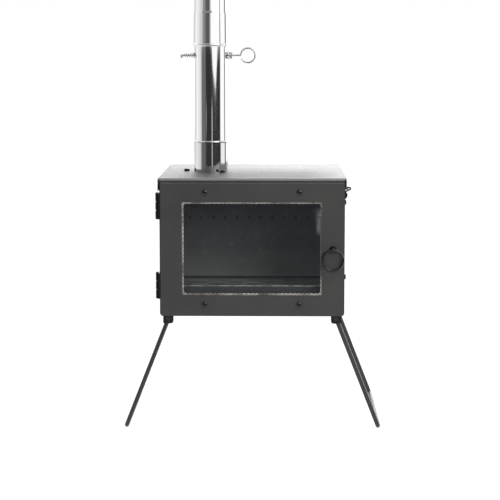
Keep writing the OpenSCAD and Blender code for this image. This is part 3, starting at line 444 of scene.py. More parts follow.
@dataclass(frozen=True)
class FibreYarn:
    """Grey-white glass-fibre yarn, plaited into tape and rope.

    The yarn's rows follow the piece, so the pattern reads the attribute
    "lay", whose x runs along the piece and y around it, both in metres.
    The yarn is drawn darker on the latch side, between its two corners.

    Attributes:
        name: The material's name.
        colour: Shade of a yarn's crown.
        shade: Painted shade in the gaps between the yarns.
        darker_yarn: Shade of the dark patches and of the darker latch side.
        row: Width of one row of yarns.
        dark_side_x: Where the darker side begins, towards the latch.
        dark_side_low: Lower end of the darker side.
        dark_side_high: Upper end of the darker side.
        fade: Half the height over which the darkening fades.
    """

    name: str
    colour: str
    shade: str
    darker_yarn: str
    row: float = 2.6 * MM
    dark_side_x: float = 0.1185
    dark_side_low: float = 0.270
    dark_side_high: float = 0.380
    fade: float = 0.008

    def make(self) -> Material:
        """Builds the material and returns it."""
        material, tree, shader = new_material(self.name)
        lay = add_node(tree, "ShaderNodeAttribute", attribute_name="lay").outputs["Vector"]
        sets = []
        for turn in (math.radians(45), math.radians(-45)):
            size = {"Rotation": (0, 0, turn), "Scale": [1 / (self.row * math.tau)] * 3}
            turned = add_node(tree, "ShaderNodeMapping", {"Vector": lay, **size})
            twist = {"Scale": 1.0, "Distortion": 1.2, "Detail": 2.0, "Detail Scale": 3.0}
            wave = add_node(tree, "ShaderNodeTexWave", {"Vector": turned, **twist})
            sets.append(wave.outputs["Fac"])
        height = calc(tree, "ADD", product(tree, *sets, 0.6), noise(tree, 1.2 * MM, detail=4.0))
        # The dark between the yarns is painted shade in their gaps.
        plait = mix_colour(tree, ramp(tree, height, 0.3, 1.0, 0, 1), self.shade, self.colour)
        patches = ramp(tree, noise(tree, 22 * MM, detail=3.0, rough=0.6), 0.46, 0.62, 0, 0.8)
        # Random sooty patches, and the latch side drawn darker between two heights.
        darker_yarn = calc(tree, "MAXIMUM", patches, self.darker_latch_side(tree))
        values = {
            "Base Color": mix_colour(tree, darker_yarn, plait, self.darker_yarn),
            "Roughness": 0.9,
            "Sheen Weight": 0.3,
            "Sheen Roughness": 0.6,
        }
        fill(shader, values)
        bump(tree, shader, height, 0.35 * MM)
        return material

    def darker_latch_side(self, tree: NodeTree) -> NodeSocket:
        """Gives how strongly a point of the latch side is darkened, from 0 to 0.85."""
        across, _, height = coordinates(tree)
        side = ramp(tree, across, self.dark_side_x - 2 * MM, self.dark_side_x, 0, 0.85)
        low, high, fade = self.dark_side_low, self.dark_side_high, self.fade
        above = ramp(tree, height, low - fade, low + fade, 0, 1)
        below = ramp(tree, height, high - fade, high + fade, 1, 0)
        return product(tree, side, above, below)


# ---------------- mesh helpers


def new_object(name: str, mesh: Mesh) -> Object:
    """Links a new object at the origin that holds the mesh, and returns it."""
    made = bpy.data.objects.new(name, mesh)
    bpy.context.scene.collection.objects.link(made)
    return made


def to_mesh(name: str, shape: BMesh, crease: float = 30.0) -> Mesh:
    """Writes a shape to a new mesh and frees it.

    Args:
        name: The mesh's name.
        shape: The finished shape.
        crease: Angle in degrees above which an edge stays sharp.

    Returns:
        The mesh, shaded smooth.
    """
    mesh = bpy.data.meshes.new(name)
    shape.to_mesh(mesh)
    shape.free()
    smooth(mesh, crease)
    return mesh


def smooth(mesh: Mesh, crease: float) -> None:
    """Shades a mesh smooth, with sharp edges above the angle in degrees."""
    mesh.shade_smooth()
    mesh.set_sharp_from_angle(angle=math.radians(crease))


def settle(made: Object) -> Object:
    """Turns an object's modifiers into its plain mesh and returns the object."""
    bpy.context.view_layer.update()
    graph = bpy.context.evaluated_depsgraph_get()
    mesh = bpy.data.meshes.new_from_object(made.evaluated_get(graph), depsgraph=graph)
    mesh.name = made.name
    made.modifiers.clear()
    made.data = mesh
    return made


def hand_over(
    piece: Object, body: Body, material: Material, replaces: Iterable[str]
) -> None:
    """Gives a finished piece its material and body, and hides the nodes it stands for.

    Args:
        piece: The finished piece.
        body: Body it rides on.
        material: Its material.
        replaces: CAD nodes that it stands for.
    """
    piece.data.materials.clear()
    piece.data.materials.append(material)
    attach(piece, body.value)
    for node in replaces:
        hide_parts(node)
    LOG.info("piece %s rides on %s, %d faces", piece.name, body.value, len(piece.data.polygons))


@dataclass(frozen=True)
class Fold:
    """A long fold along X that is rounded more than the other edges."""

    y: float
    z: float
    radius: float
    shortest: float = 0.05
    off: float = 0.02 * MM

    def edges(self, shape: BMesh) -> list[BMEdge]:
        """Finds the fold's edges in a mesh."""
        return [
            e
            for e in shape.edges
            if abs(e.verts[0].co.x - e.verts[1].co.x) > self.shortest
            and all(abs(v.co.y - self.y) < self.off for v in e.verts)
            and all(abs(v.co.z - self.z) < self.off for v in e.verts)
        ]


def merged(node: str) -> BMesh:
    """Copies a CAD node's loose triangles into one shape with flat faces, and returns it."""
    shape = bmesh.new()
    shape.from_mesh(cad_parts[node].data)
    bmesh.ops.remove_doubles(shape, verts=shape.verts, dist=0.002 * MM)
    bmesh.ops.dissolve_limit(
        shape,
        angle_limit=math.radians(0.5),
        use_dissolve_boundaries=False,
        verts=shape.verts,
        edges=shape.edges,
        delimit=set(),
    )
    return shape


def rounded_copy(node: str, width: float, folds: Sequence[Fold] = ()) -> Object:
    """Copies a CAD node, merges its triangles and rounds its sharp edges.

    A copy whose bevel grew, shrank or twisted the shape is made again with
    no bevel, so that a rounded piece always has the size of its node.

    Args:
        node: The CAD node.
        width: Width of the rounding in metres, 0 for none.
        folds: Folds with a radius of their own, rounded first.

    Returns:
        The new object, named after the node.
    """
    low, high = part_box(node)
    for offset in (width, width / 2, 0.0):
        shape = merged(node)
        before = abs(shape.calc_volume())
        for fold in folds:
            found = fold.edges(shape)
            LOG.info("%s: %d edges in a fold of %.1f mm", node, len(found), fold.radius / MM)
            bmesh.ops.bevel(shape, geom=found, offset=fold.radius, segments=8, **BEVEL)
        if not offset:
            break
        sharp = [
            e
            for e in shape.edges
            if len(e.link_faces) == 2 and e.calc_face_angle(0.0) > math.radians(35)
        ]
        bmesh.ops.bevel(
            shape, geom=sharp, offset=offset, segments=2, clamp_overlap=True, **BEVEL
        )
        reach = max(max(low[i] - v.co[i], v.co[i] - high[i]) for v in shape.verts for i in range(3))
        if reach < 0.02 * MM and 0.93 < abs(shape.calc_volume()) / before < 1.005:
            break
        LOG.info("%s: rounding of %.2f mm left out", node, offset / MM)
        shape.free()
    made = new_object(node + "_finished", to_mesh(node, shape))
    weighted = made.modifiers.new("flat faces stay flat", "WEIGHTED_NORMAL")
    weighted.keep_sharp = True
    weighted.weight = 80
    return settle(made)


def lathe(
    name: str,
    profile: Sequence[tuple[float, float]],
    centre: Vector,
    crease: float = 40.0,
    steps: int = 160,
) -> Object:
    """Turns a closed profile round a vertical axis.

    Args:
        name: The new object's name.
        profile: Radius and height of each point, in metres, counter-clockwise.
        centre: A point on the axis, which the heights are measured from.
        crease: Angle in degrees above which an edge stays sharp.
        steps: Segments around the axis.

    Returns:
        The closed turned piece.
    """
    shape = bmesh.new()
    turns = [math.tau * i / steps for i in range(steps)]
    rings = [
        [
            shape.verts.new(centre + Vector((radius * math.cos(a), radius * math.sin(a), height)))
            for a in turns
        ]
        for radius, height in profile
    ]
    for lower, upper in zip(rings, rings[1:] + rings[:1]):
        for i in range(steps):
            j = (i + 1) % steps
            shape.faces.new((lower[i], lower[j], upper[j], upper[i]))
    bmesh.ops.recalc_face_normals(shape, faces=shape.faces)
    return new_object(name, to_mesh(name, shape, crease))


def drill_across(target: Object, centre: Vector, radius: float, length: float) -> None:
    """Cuts a round hole along X through a piece.

    Args:
        target: The piece.
        centre: Middle of the hole.
        radius: The hole's radius.
        length: Length of the cutter, longer than the piece is wide.
    """
    shape = bmesh.new()
    bmesh.ops.create_cone(
        shape,
        cap_ends=True,
        segments=32,
        radius1=radius,
        radius2=radius,
        depth=length,
        matrix=Matrix.Translation(centre) @ Matrix.Rotation(math.pi / 2, 4, "Y"),
    )
    cutter = new_object("drill", to_mesh("drill", shape))
    cut = target.modifiers.new("hole", "BOOLEAN")
    cut.operation = "DIFFERENCE"
    cut.solver = "EXACT"
    cut.object = cutter
    settle(target)
    bpy.data.objects.remove(cutter)
    smooth(target.data, 40)


# ---------------- geometry trees


class ShapeTree:
    """A Geometry Nodes tree with named inputs, from its first node to its material."""

    def __init__(self, name: str) -> None:
        """Makes an empty tree with a Geometry input and output."""
        self.tree = bpy.data.node_groups.new(name, "GeometryNodeTree")
        self.face = self.tree.interface
        for way in ("OUTPUT", "INPUT"):
            self.face.new_socket("Geometry", in_out=way, socket_type="NodeSocketGeometry")
        self.start = self.tree.nodes.new("NodeGroupInput")
        self.end = self.tree.nodes.new("NodeGroupOutput")

    def size(self, name: str, kind: str = "Float") -> NodeSocket:
        """Adds a named input of a kind and returns its socket inside the tree."""
        self.face.new_socket(name, in_out="INPUT", socket_type="NodeSocket" + kind)
        return self.start.outputs[name]

    def node(self, kind: str, *args: object, **kwargs: object) -> Node:
        """Adds one node to the tree, as add_node does."""
        return add_node(self.tree, kind, *args, **kwargs)

    def capture(self, geometry: NodeSocket, name: str) -> Node:
        """Keeps the distance along a curve as a captured attribute and returns the node."""
        kept = self.node("GeometryNodeCaptureAttribute", {"Geometry": geometry}, domain="POINT")
        kept.capture_items.new("FLOAT", name)
        along = self.node("GeometryNodeSplineParameter")
        fill(kept, {name: along.outputs["Length"]})
        return kept

    def close(self, geometry: NodeSocket, material: NodeSocket) -> ShapeTree:
        """Ends the tree with Realize Instances and Set Material, and returns it."""
        real = self.node("GeometryNodeRealizeInstances", {0: geometry})
        dressed = self.node("GeometryNodeSetMaterial", {"Geometry": real, "Material": material})
        fill(self.end, {0: dressed})
        return self

    def build(self, name: str, mesh: Mesh, values: dict[str, object]) -> Object:
        """Runs the tree on a mesh and returns the result as a plain object.

        Args:
            name: The new object's name.
            mesh: The geometry that goes in.
            values: Value of each named input.

        Returns:
            An object at the origin with a plain mesh and no modifier.
        """
        made = new_object(name, mesh)
        modifier = made.modifiers.new(name, "NODES")
        modifier.node_group = self.tree
        for item in self.face.items_tree:
            if item.in_out == "INPUT" and item.name in values:
                modifier[item.identifier] = values[item.name]
        return settle(made)


def points_mesh(points: Iterable[Vector], directions: Iterable[Vector]) -> Mesh:
    """Makes a mesh of loose points that each carry the direction they face.

    Args:
        points: Places of the points.
        directions: The way each point faces, stored as the attribute "face".

    Returns:
        The mesh.
    """
    mesh = bpy.data.meshes.new("points")
    mesh.from_pydata([tuple(p) for p in points], [], [])
    store = mesh.attributes.new("face", "FLOAT_VECTOR", "POINT")
    for item, way in zip(store.data, directions):
        item.vector = way
    return mesh


def loop_mesh(points: Sequence[Vector]) -> Mesh:
    """Makes a mesh of one closed chain of edges through the points."""
    count = len(points)
    mesh = bpy.data.meshes.new("path")
    mesh.from_pydata([tuple(p) for p in points], [(i, (i + 1) % count) for i in range(count)], [])
    return mesh


def fastener_tree() -> ShapeTree:
    """Makes the tree that sets one fastener at each point, turned as the point faces.

    Returns:
        The tree, with inputs Fastener, Size, Spin, Seed and Material.
    """
    tree = ShapeTree("fasteners")
    part = tree.size("Fastener", "Object")
    size = tree.size("Size")
    spin = tree.size("Spin")
    seed = tree.size("Seed", "Int")
    material = tree.size("Material", "Material")
    look = tree.node("GeometryNodeObjectInfo", {"Object": part})
    way = tree.node("GeometryNodeInputNamedAttribute", {"Name": "face"}, data_type="FLOAT_VECTOR")
    turn = tree.node("FunctionNodeAlignRotationToVector", {"Vector": way}, axis="Z")
    placed = tree.node(
        "GeometryNodeInstanceOnPoints",
        {
            "Points": tree.start.outputs["Geometry"],
            "Instance": look.outputs["Geometry"],
            "Rotation": turn,
            "Scale": size,
        },
    )
    angle = tree.node("FunctionNodeRandomValue", {2: 0.0, "Seed": seed, 3: spin}, data_type="FLOAT")
    axis = tree.node("ShaderNodeCombineXYZ", {"Z": angle.outputs[1]})
    spun = tree.node(
        "GeometryNodeRotateInstances", {"Instances": placed, "Rotation": axis}
    )
    return tree.close(spun, material)


def spring_tree() -> ShapeTree:
    """Makes the tree that winds one spring, round or conical, along +X from the origin.

    Returns:
        The tree, with inputs Curls, Start Radius, End Radius, Length, Wire Radius,
        Place and Material.
    """
    tree = ShapeTree("wound spring")
    turns = {
        "Rotations": tree.size("Curls"),
        "Start Radius": tree.size("Start Radius"),
        "End Radius": tree.size("End Radius"),
        "Height": tree.size("Length"),
    }
    wire = tree.size("Wire Radius")
    place = tree.size("Place", "Vector")
    material = tree.size("Material", "Material")
    coil = tree.node("GeometryNodeCurveSpiral", {"Resolution": 40, **turns})
    section = tree.node("GeometryNodeCurvePrimitiveCircle", {"Resolution": 16, "Radius": wire})
    swept = tree.node(
        "GeometryNodeCurveToMesh",
        {"Fill Caps": True, "Curve": coil, "Profile Curve": section},
    )
    laid = tree.node(
        "GeometryNodeTransform",
        {"Rotation": (0, math.pi / 2, 0), "Geometry": swept, "Translation": place},
    )
    return tree.close(laid, material)


def strip_tree() -> ShapeTree:
    """Makes the tree that sweeps a soft strip round a closed path.

    The path lies in a plane y = constant. The section is a square of Width by
    Depth with soft corners, and the attribute "lay" keeps the distance along
    and around for the yarn.

    Returns:
        The tree, with inputs Width, Depth, Swell, Grain and Material.
    """
    tree = ShapeTree("soft strip")
    nodes = tree.tree
    width = tree.size("Width")
    depth = tree.size("Depth")
    swell = tree.size("Swell")
    grain = tree.size("Grain")
    material = tree.size("Material", "Material")
    path = tree.node("GeometryNodeMeshToCurve", {"Mesh": tree.start.outputs["Geometry"]})
    even = tree.node(
        "GeometryNodeResampleCurve", {"Length": 1.2 * MM, "Curve": path}, mode="LENGTH"
    )
    upright = tree.node(
        "GeometryNodeSetCurveNormal", {"Normal": (0, 1, 0), "Curve": even}, mode="FREE"
    )
    kept = tree.capture(upright, "along")
    section = tree.node("GeometryNodeCurvePrimitiveCircle", {"Resolution": 28, "Radius": 1.0})
    spot = tree.node("GeometryNodeInputPosition")
    split = tree.node("ShaderNodeSeparateXYZ", {0: spot})
    sides = []
    for side, size in ((split, depth), (split.outputs[1], width)):
        # A power of 0.5 on each side of the round gives the square with soft corners.
        far = calc(nodes, "POWER", calc(nodes, "ABSOLUTE", side), 0.5)
        grown = product(nodes, far, product(nodes, size, 0.5))
        sides.append(product(nodes, grown, calc(nodes, "SIGN", side)))
    soft = tree.node("ShaderNodeCombineXYZ", {0: sides[0], 1: sides[1]})
    squared = tree.node(
        "GeometryNodeSetPosition", {"Geometry": section, "Position": soft}
    )
    ring = tree.capture(squared, "around")
    swept = tree.node(
        "GeometryNodeCurveToMesh", {"Curve": kept, "Profile Curve": ring}
    )
    lay = tree.node("ShaderNodeCombineXYZ", {0: kept.outputs[1], 1: ring.outputs[1]})
    stored = tree.node(
        "GeometryNodeStoreNamedAttribute",
        {"Name": "lay", "Geometry": swept, "Value": lay},
        data_type="FLOAT_VECTOR",
        domain="POINT",
    )
    rough = tree.node("ShaderNodeTexNoise", {"Detail": 2.0, "Scale": grain})
    step = product(nodes, calc(nodes, "SUBTRACT", rough.outputs["Fac"], 0.5), swell)
    normal = tree.node("GeometryNodeInputNormal")
    push = tree.node(
        "ShaderNodeVectorMath", {0: normal, "Scale": step}, operation="SCALE"
    )
    moved = tree.node(
        "GeometryNodeSetPosition", {"Geometry": stored, "Offset": push}
    )
    return tree.close(moved, material)


# ---------------- sub-assemblies


class Palette:
    """The finishes, made once and shared by all sub-assemblies."""

    def __init__(self) -> None:
        """Makes every finish."""
        lid_low, lid_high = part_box("lid")
        self.enamel = HeatPaint(
            "matt heat paint on folded sheet", "#3C3C3C", "#434342", roughness=0.46
        ).make()
        self.lid = HeatPaint(
            "heat paint dulled over the fire",
            "#3C3C3C",
            "#434342",
            roughness=0.44,
            dull=0.12,
            # The lid's front fold gets a painted highlight.
            fold_y=lid_low.y + 3 * MM,
            fold_z=lid_high.z,
        ).make()
        self.firebox = HeatPaint(
            "heat paint inside the firebox",
            # Painted light: drawn paler than the same paint outside, standing in for light inside
            # the dim firebox.
            "#5A5A58",
            "#646361",
            roughness=0.55,
            # The wall's foot gets painted light and a painted shadow line above the grate.
            dust_and_painted_light="#8A8782",
            foot_z=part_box("grate")[1].z,
        ).make()
        self.grate = HeatPaint(
            # Scorched steel is pale grey; drawn paler still as painted light, since little light
            # reaches the grate.
            "scorched steel of the grate", "#C2BEB6", "#AEABA4", roughness=0.42, dust_and_painted_light="#D6D2C8"
        ).make()
        self.guard = HeatPaint(
            "scorched fence with a worn edge",
            "#3B3B3A",
            "#454443",
            roughness=0.5,
            # The fence's top edge gets a painted highlight in dashes.
            edge_top_z=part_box("log_guard")[1].z,
        ).make()
        self.rod = HeatPaint(
            "satin paint on steel rod", "#2B2B2B", "#333333", roughness=0.34
        ).make()
        self.fitting = BlackFitting("blackened steel fittings", "#151515", "#262626", 0.26).make()
        self.screw = BlackFitting("black oxide screws", "#131313", "#242424", 0.22).make()
        self.ring = BlackFitting("black-plated ring and eye", "#0E0E0E", "#1A1A1A", 0.17).make()
        self.polished = PolishedTube("buffed stainless tube", "#E6E6E6").make()
        self.collar = PolishedTube("buffed stainless collar", "#D8D8D8", 0.06).make()
        self.wire = DrawnWire("drawn stainless wire", "#D6D6D4", "#B2B2B0", 0.34).make()
        self.knob = DrawnWire("turned steel knob", "#8C8C8A", "#6E6E6C", 0.28).make()
        self.glass = StoveGlass("rolled ceramic glass", "#F2F5F6", "#DCE8F4").make()
        self.yarn = FibreYarn("plaited glass-fibre yarn", "#E4E2DC", "#33322F", "#3A3835").make()


@dataclass
class Assembly:
    """A group of pieces that are built and dressed together."""

    palette: Palette

    def dress(
        self, nodes: Iterable[str], body: Body, slot: Slot, material: Material, edge: float
    ) -> None:
        """Puts a rounded, finished copy in the place of each CAD node.

        Args:
            nodes: The CAD nodes.
            body: Body that all of them ride on.
            slot: Slot of the record; not used.
            material: Their material.
            edge: Width of the rounding in metres.
        """
        for node in nodes:
            hand_over(rounded_copy(node, edge), body, material, (node,))


@dataclass
class SheetCasing(Assembly):
    """Shell, front frame, back, lid and what is fixed to them."""

    sheet: float = 1.5 * MM
    lid_fold: float = 4.5 * MM
    sheet_edge: float = 0.35 * MM
    fitting_edge: float = 0.25 * MM

    def build(self) -> None:
        """Dresses the casing's sheets and fittings."""
        paints, edge = self.palette, self.sheet_edge
        sheets = ("casing_shell", "front_frame", "back_panel")
        self.dress(sheets, Body.CASING, Slot.ENAMEL, paints.enamel, edge)
        low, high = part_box("lid")
        folds = (
            Fold(low.y, high.z, self.lid_fold),
            Fold(low.y + self.sheet, high.z - self.sheet, self.lid_fold - self.sheet),
        )
        lid = rounded_copy("lid", edge, folds)
        hand_over(lid, Body.CASING, paints.lid, ("lid",))
        self.dress(("air_baffle",), Body.CASING, Slot.FIREBOX, paints.firebox, edge)
        self.dress(("log_guard",), Body.CASING, Slot.FIREBOX, paints.guard, edge)
        fittings = [f"bracket_{y}_{x}" for y in ("front", "rear") for x in ("left", "right")]
        fittings += ["shelf_eye_front", "shelf_eye_rear", "shutter_guides"]
        self.dress(fittings, Body.CASING, Slot.FITTINGS, paints.fitting, self.fitting_edge)


@dataclass
class LooseGrate(Assembly):
    """The grate that lies on the firebox floor."""

    edge: float = 0.3 * MM

    def build(self) -> None:
        """Dresses the grate."""
        self.dress(("grate",), Body.GRATE, Slot.FIREBOX, self.palette.grate, self.edge)


@dataclass
class GlazedDoor(Assembly):
    """Door panel, pane with its tape, retainer, hinges and the rope seal."""

    panel_edge: float = 0.4 * MM
    retainer_edge: float = 0.3 * MM
    fitting_edge: float = 0.25 * MM
    tape: float = 10.9 * MM
    tape_corner: float = 9 * MM
    rope: float = 10.4 * MM
    rope_corner: float = 10 * MM
    rope_spare: float = 0.3 * MM
    strip_clearance: float = 0.1 * MM
    fuzz: float = 0.4 * MM
    fuzz_grains: float = 400.0

    def build(self) -> None:
        """Dresses the door and lays its tape and rope."""
        paints = self.palette
        self.dress(("door_panel",), Body.DOOR, Slot.ENAMEL, paints.enamel, self.panel_edge)
        self.dress(
            ("glass_retainer",), Body.DOOR, Slot.FIREBOX, paints.firebox, self.retainer_edge
        )
        self.dress(("door_glass",), Body.DOOR, Slot.GLASS, paints.glass, self.panel_edge)
        hinges = ("hinge_upper_", "hinge_lower_")
        on_door = [hinge + "door_leaf" for hinge in hinges] + ["latch_bush"]
        on_casing = [hinge + part for part in ("casing_leaf", "pin") for hinge in hinges]
        for body, nodes in ((Body.DOOR, on_door), (Body.CASING, on_casing)):
            self.dress(nodes, body, Slot.FITTINGS, paints.fitting, self.fitting_edge)
        self.lay_strip("window_tape", "glass_gasket", self.tape, self.tape_corner, 0.0)
        self.lay_strip("rope_seal", "door_seal", self.rope, self.rope_corner, self.rope_spare)

    def rounded_path(
        self, width: float, height: float, corner: float, middle: Vector
    ) -> list[Vector]:
        """Lays points round an upright rectangle with round corners.

        Args:
            width: Width of the path.
            height: Height of the path.
            corner: Radius of its corners.
            middle: Its middle, of which x is left at 0.

        Returns:
            The points in order.
        """
        points = []
        for turn, (sx, sz) in enumerate(((1, 1), (-1, 1), (-1, -1), (1, -1))):
            across, up = sx * (width / 2 - corner), sz * (height / 2 - corner)
            bend = Vector((across, middle.y, middle.z + up))
            for step in range(9):
                angle = math.radians(90 * turn + 90 * step / 8)
                points.append(bend + corner * Vector((math.cos(angle), 0, math.sin(angle))))
        return points

    def lay_strip(self, name: str, node: str, width: float, corner: float, spare: float) -> None:
        """Sweeps a plaited strip round the box of a CAD node and puts it in its place.

        Args:
            name: Name of the new piece.
            node: The CAD node it stands for.
            width: Size of the strip across, in the path's plane.
            corner: Radius of the path's corners.
            spare: Gap left at the front and the back of the box.
        """
        low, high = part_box(node)
        size = high - low
        inset = width + self.strip_clearance
        path = self.rounded_path(size.x - inset, size.z - inset, corner, (low + high) / 2)
        values = {
            "Width": width,
            "Depth": size.y - 2 * spare,
            "Swell": self.fuzz,
            "Grain": self.fuzz_grains,
            "Material": self.palette.yarn,
        }
        strip = strip_tree().build(name, loop_mesh(path), values)
        smooth(strip.data, 60)
        hand_over(strip, Body.DOOR, self.palette.yarn, (node,))


@dataclass
class RingLatch(Assembly):
    """The eye, cam and nut of the latch, and the ring that turns them."""

    edge: float = 0.25 * MM

    def build(self) -> None:
        """Dresses the latch and the ring."""
        turned = ("latch_eye", "latch_cam", "latch_nut")
        self.dress(turned, Body.LATCH, Slot.FITTINGS, self.palette.ring, self.edge)
        self.dress(("ring_handle",), Body.RING, Slot.FITTINGS, self.palette.ring, 0.0)


@dataclass
class WireLegs(Assembly):
    """The two bent rods that carry the stove."""

    edge: float = 0.3 * MM

    def build(self) -> None:
        """Dresses both legs."""
        for node, body in (("leg_left", Body.LEFT_LEG), ("leg_right", Body.RIGHT_LEG)):
            self.dress((node,), body, Slot.ROD, self.palette.rod, self.edge)


@dataclass
class AirShutter(Assembly):
    """The sliding plate on the left side and its knob."""

    plate_edge: float = 0.2 * MM
    knob_edge: float = 0.3 * MM

    def build(self) -> None:
        """Dresses the shutter."""
        paints = self.palette
        self.dress(
            ("air_shutter",), Body.SHUTTER, Slot.FITTINGS, paints.fitting, self.plate_edge
        )
        self.dress(("shutter_knob",), Body.SHUTTER, Slot.WIRE, paints.knob, self.knob_edge)


@dataclass
class Flue(Assembly):
    """Collar, damper pipe and upper pipe, turned smooth so that they mirror well."""

    axis: Vector
    rod_z: float
    pipe_r: float = 30 * MM
    wall: float = 0.8 * MM
    lip: float = 0.25 * MM
    socket_r: float = 31.1 * MM
    flare: float = 0.8 * MM
    socket_len: float = 60 * MM
    neck: float = 3 * MM
    rod_hole: float = 1.7 * MM
    bead_up: float = 3 * MM
    bead_half: float = 2.3 * MM
    bead_out: float = 1.05 * MM
    bead_sunk: float = 0.04 * MM

    def build(self) -> None:
        """Turns the pipes and dresses the collar."""
        self.turn_lower()
        self.turn_upper()
        self.dress(("flue_collar",), Body.CASING, Slot.POLISHED, self.palette.collar, 0.0)

    def bead(self, radius: float, z: float) -> list[tuple[float, float]]:
        """Gives the outside of a rolled bead, from its lower end to its upper end."""
        turns = [math.pi * i / 24 for i in range(25)]
        return [
            (radius + self.bead_out * math.sin(a), z - self.bead_half * math.cos(a)) for a in turns
        ]

    def turn_lower(self) -> None:
        """Turns the damper pipe with rolled ends and the two holes for the rod."""
        outer, inner, lip = self.pipe_r, self.pipe_r - self.wall, self.lip
        low, high = (corner.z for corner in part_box("damper_pipe"))
        profile = [
            (inner + lip, low),
            (outer - lip, low),
            (outer, low + lip),
            (outer, high - lip),
            (outer - lip, high),
            (inner + lip, high),
            (inner, high - lip),
            (inner, low + lip),
        ]
        pipe = lathe("damper_pipe_tube", profile, self.axis)
        drill_across(pipe, self.axis + Vector((0, 0, self.rod_z)), self.rod_hole, 3 * outer)
        self.hand_pipe(pipe, Body.LOWER_FLUE, "damper_pipe")

    def turn_upper(self) -> None:
        """Turns the upper pipe with its widened socket, rolled rim and neck."""
        outer, inner, lip = self.pipe_r, self.pipe_r - self.wall, self.lip
        low, high = (corner.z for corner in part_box("upper_pipe"))
        socket, mouth = self.socket_r, self.socket_r - self.wall + self.flare
        rim, shoulder = socket + self.flare, low + self.socket_len
        ease, turn = 0.1 * MM, 0.8 * MM
        profile = [
            (mouth + lip, low),
            (rim, low),
            *self.bead(rim - self.bead_sunk, low + self.bead_up),
            (socket, shoulder - turn),
            (socket - ease, shoulder),
            (outer + ease, shoulder + self.neck),
            (outer, shoulder + self.neck + turn),
            (outer, high - lip),
            (outer - lip, high),
            (inner + lip, high),
            (inner, high - lip),
            (inner, shoulder + self.neck),
            (socket - self.wall, shoulder),
            (mouth, low + lip),
        ]
        pipe = lathe("upper_pipe_tube", profile, self.axis, crease=15.0)
        self.hand_pipe(pipe, Body.UPPER_FLUE, "upper_pipe")

    def hand_pipe(self, pipe: Object, body: Body, node: str) -> None:
        """Polishes a turned pipe and puts it in its CAD node's place."""
        hand_over(pipe, body, self.palette.polished, (node,))


@dataclass
class Damper(Assembly):
    """Plate and rod in the lower pipe, with a long and a short spring."""

    axis: Vector
    rod_z: float
    long_wire: float = 0.8 * MM
    long_start: float = 2.6 * MM
    long_curls: float = 4.5
    short_wire: float = 0.9 * MM
    short_curls: float = 2.5

    def build(self) -> None:
        """Dresses plate, rod and washers and winds both springs."""
        plain = ("damper_plate", "damper_rod", "damper_washers")
        self.dress(plain, Body.DAMPER, Slot.WIRE, self.palette.wire, 0.0)
        tree = spring_tree()
        self.wind(
            tree, "long_spring", "damper_spring", self.long_wire, self.long_curls, self.long_start
        )
        self.wind(tree, "short_spring", "damper_cuff", self.short_wire, self.short_curls)

    def wind(
        self, tree: ShapeTree, name: str, node: str, wire: float, curls: float, start: float = 0.0
    ) -> None:
        """Winds one spring that fills a CAD node's box and puts it in its place.

        Args:
            tree: The spring tree.
            name: Name of the piece.
            node: The CAD node that it stands for.
            wire: Radius of its wire.
            curls: Number of its turns.
            start: Radius of its first turn, or 0 for that of the last.
        """
        low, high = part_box(node)
        last = (high.z - low.z) / 2 - wire
        values = {
            "Curls": curls,
            "Start Radius": start or last,
            "End Radius": last,
            "Length": high.x - low.x - 2 * wire,
            "Wire Radius": wire,
            "Place": Vector((low.x + wire, self.axis.y, self.rod_z)),
            "Material": self.palette.wire,
        }
        spring = tree.build(name, bpy.data.meshes.new(name), values)
        smooth(spring.data, 50)
        hand_over(spring, Body.DAMPER, self.palette.wire, (node,))


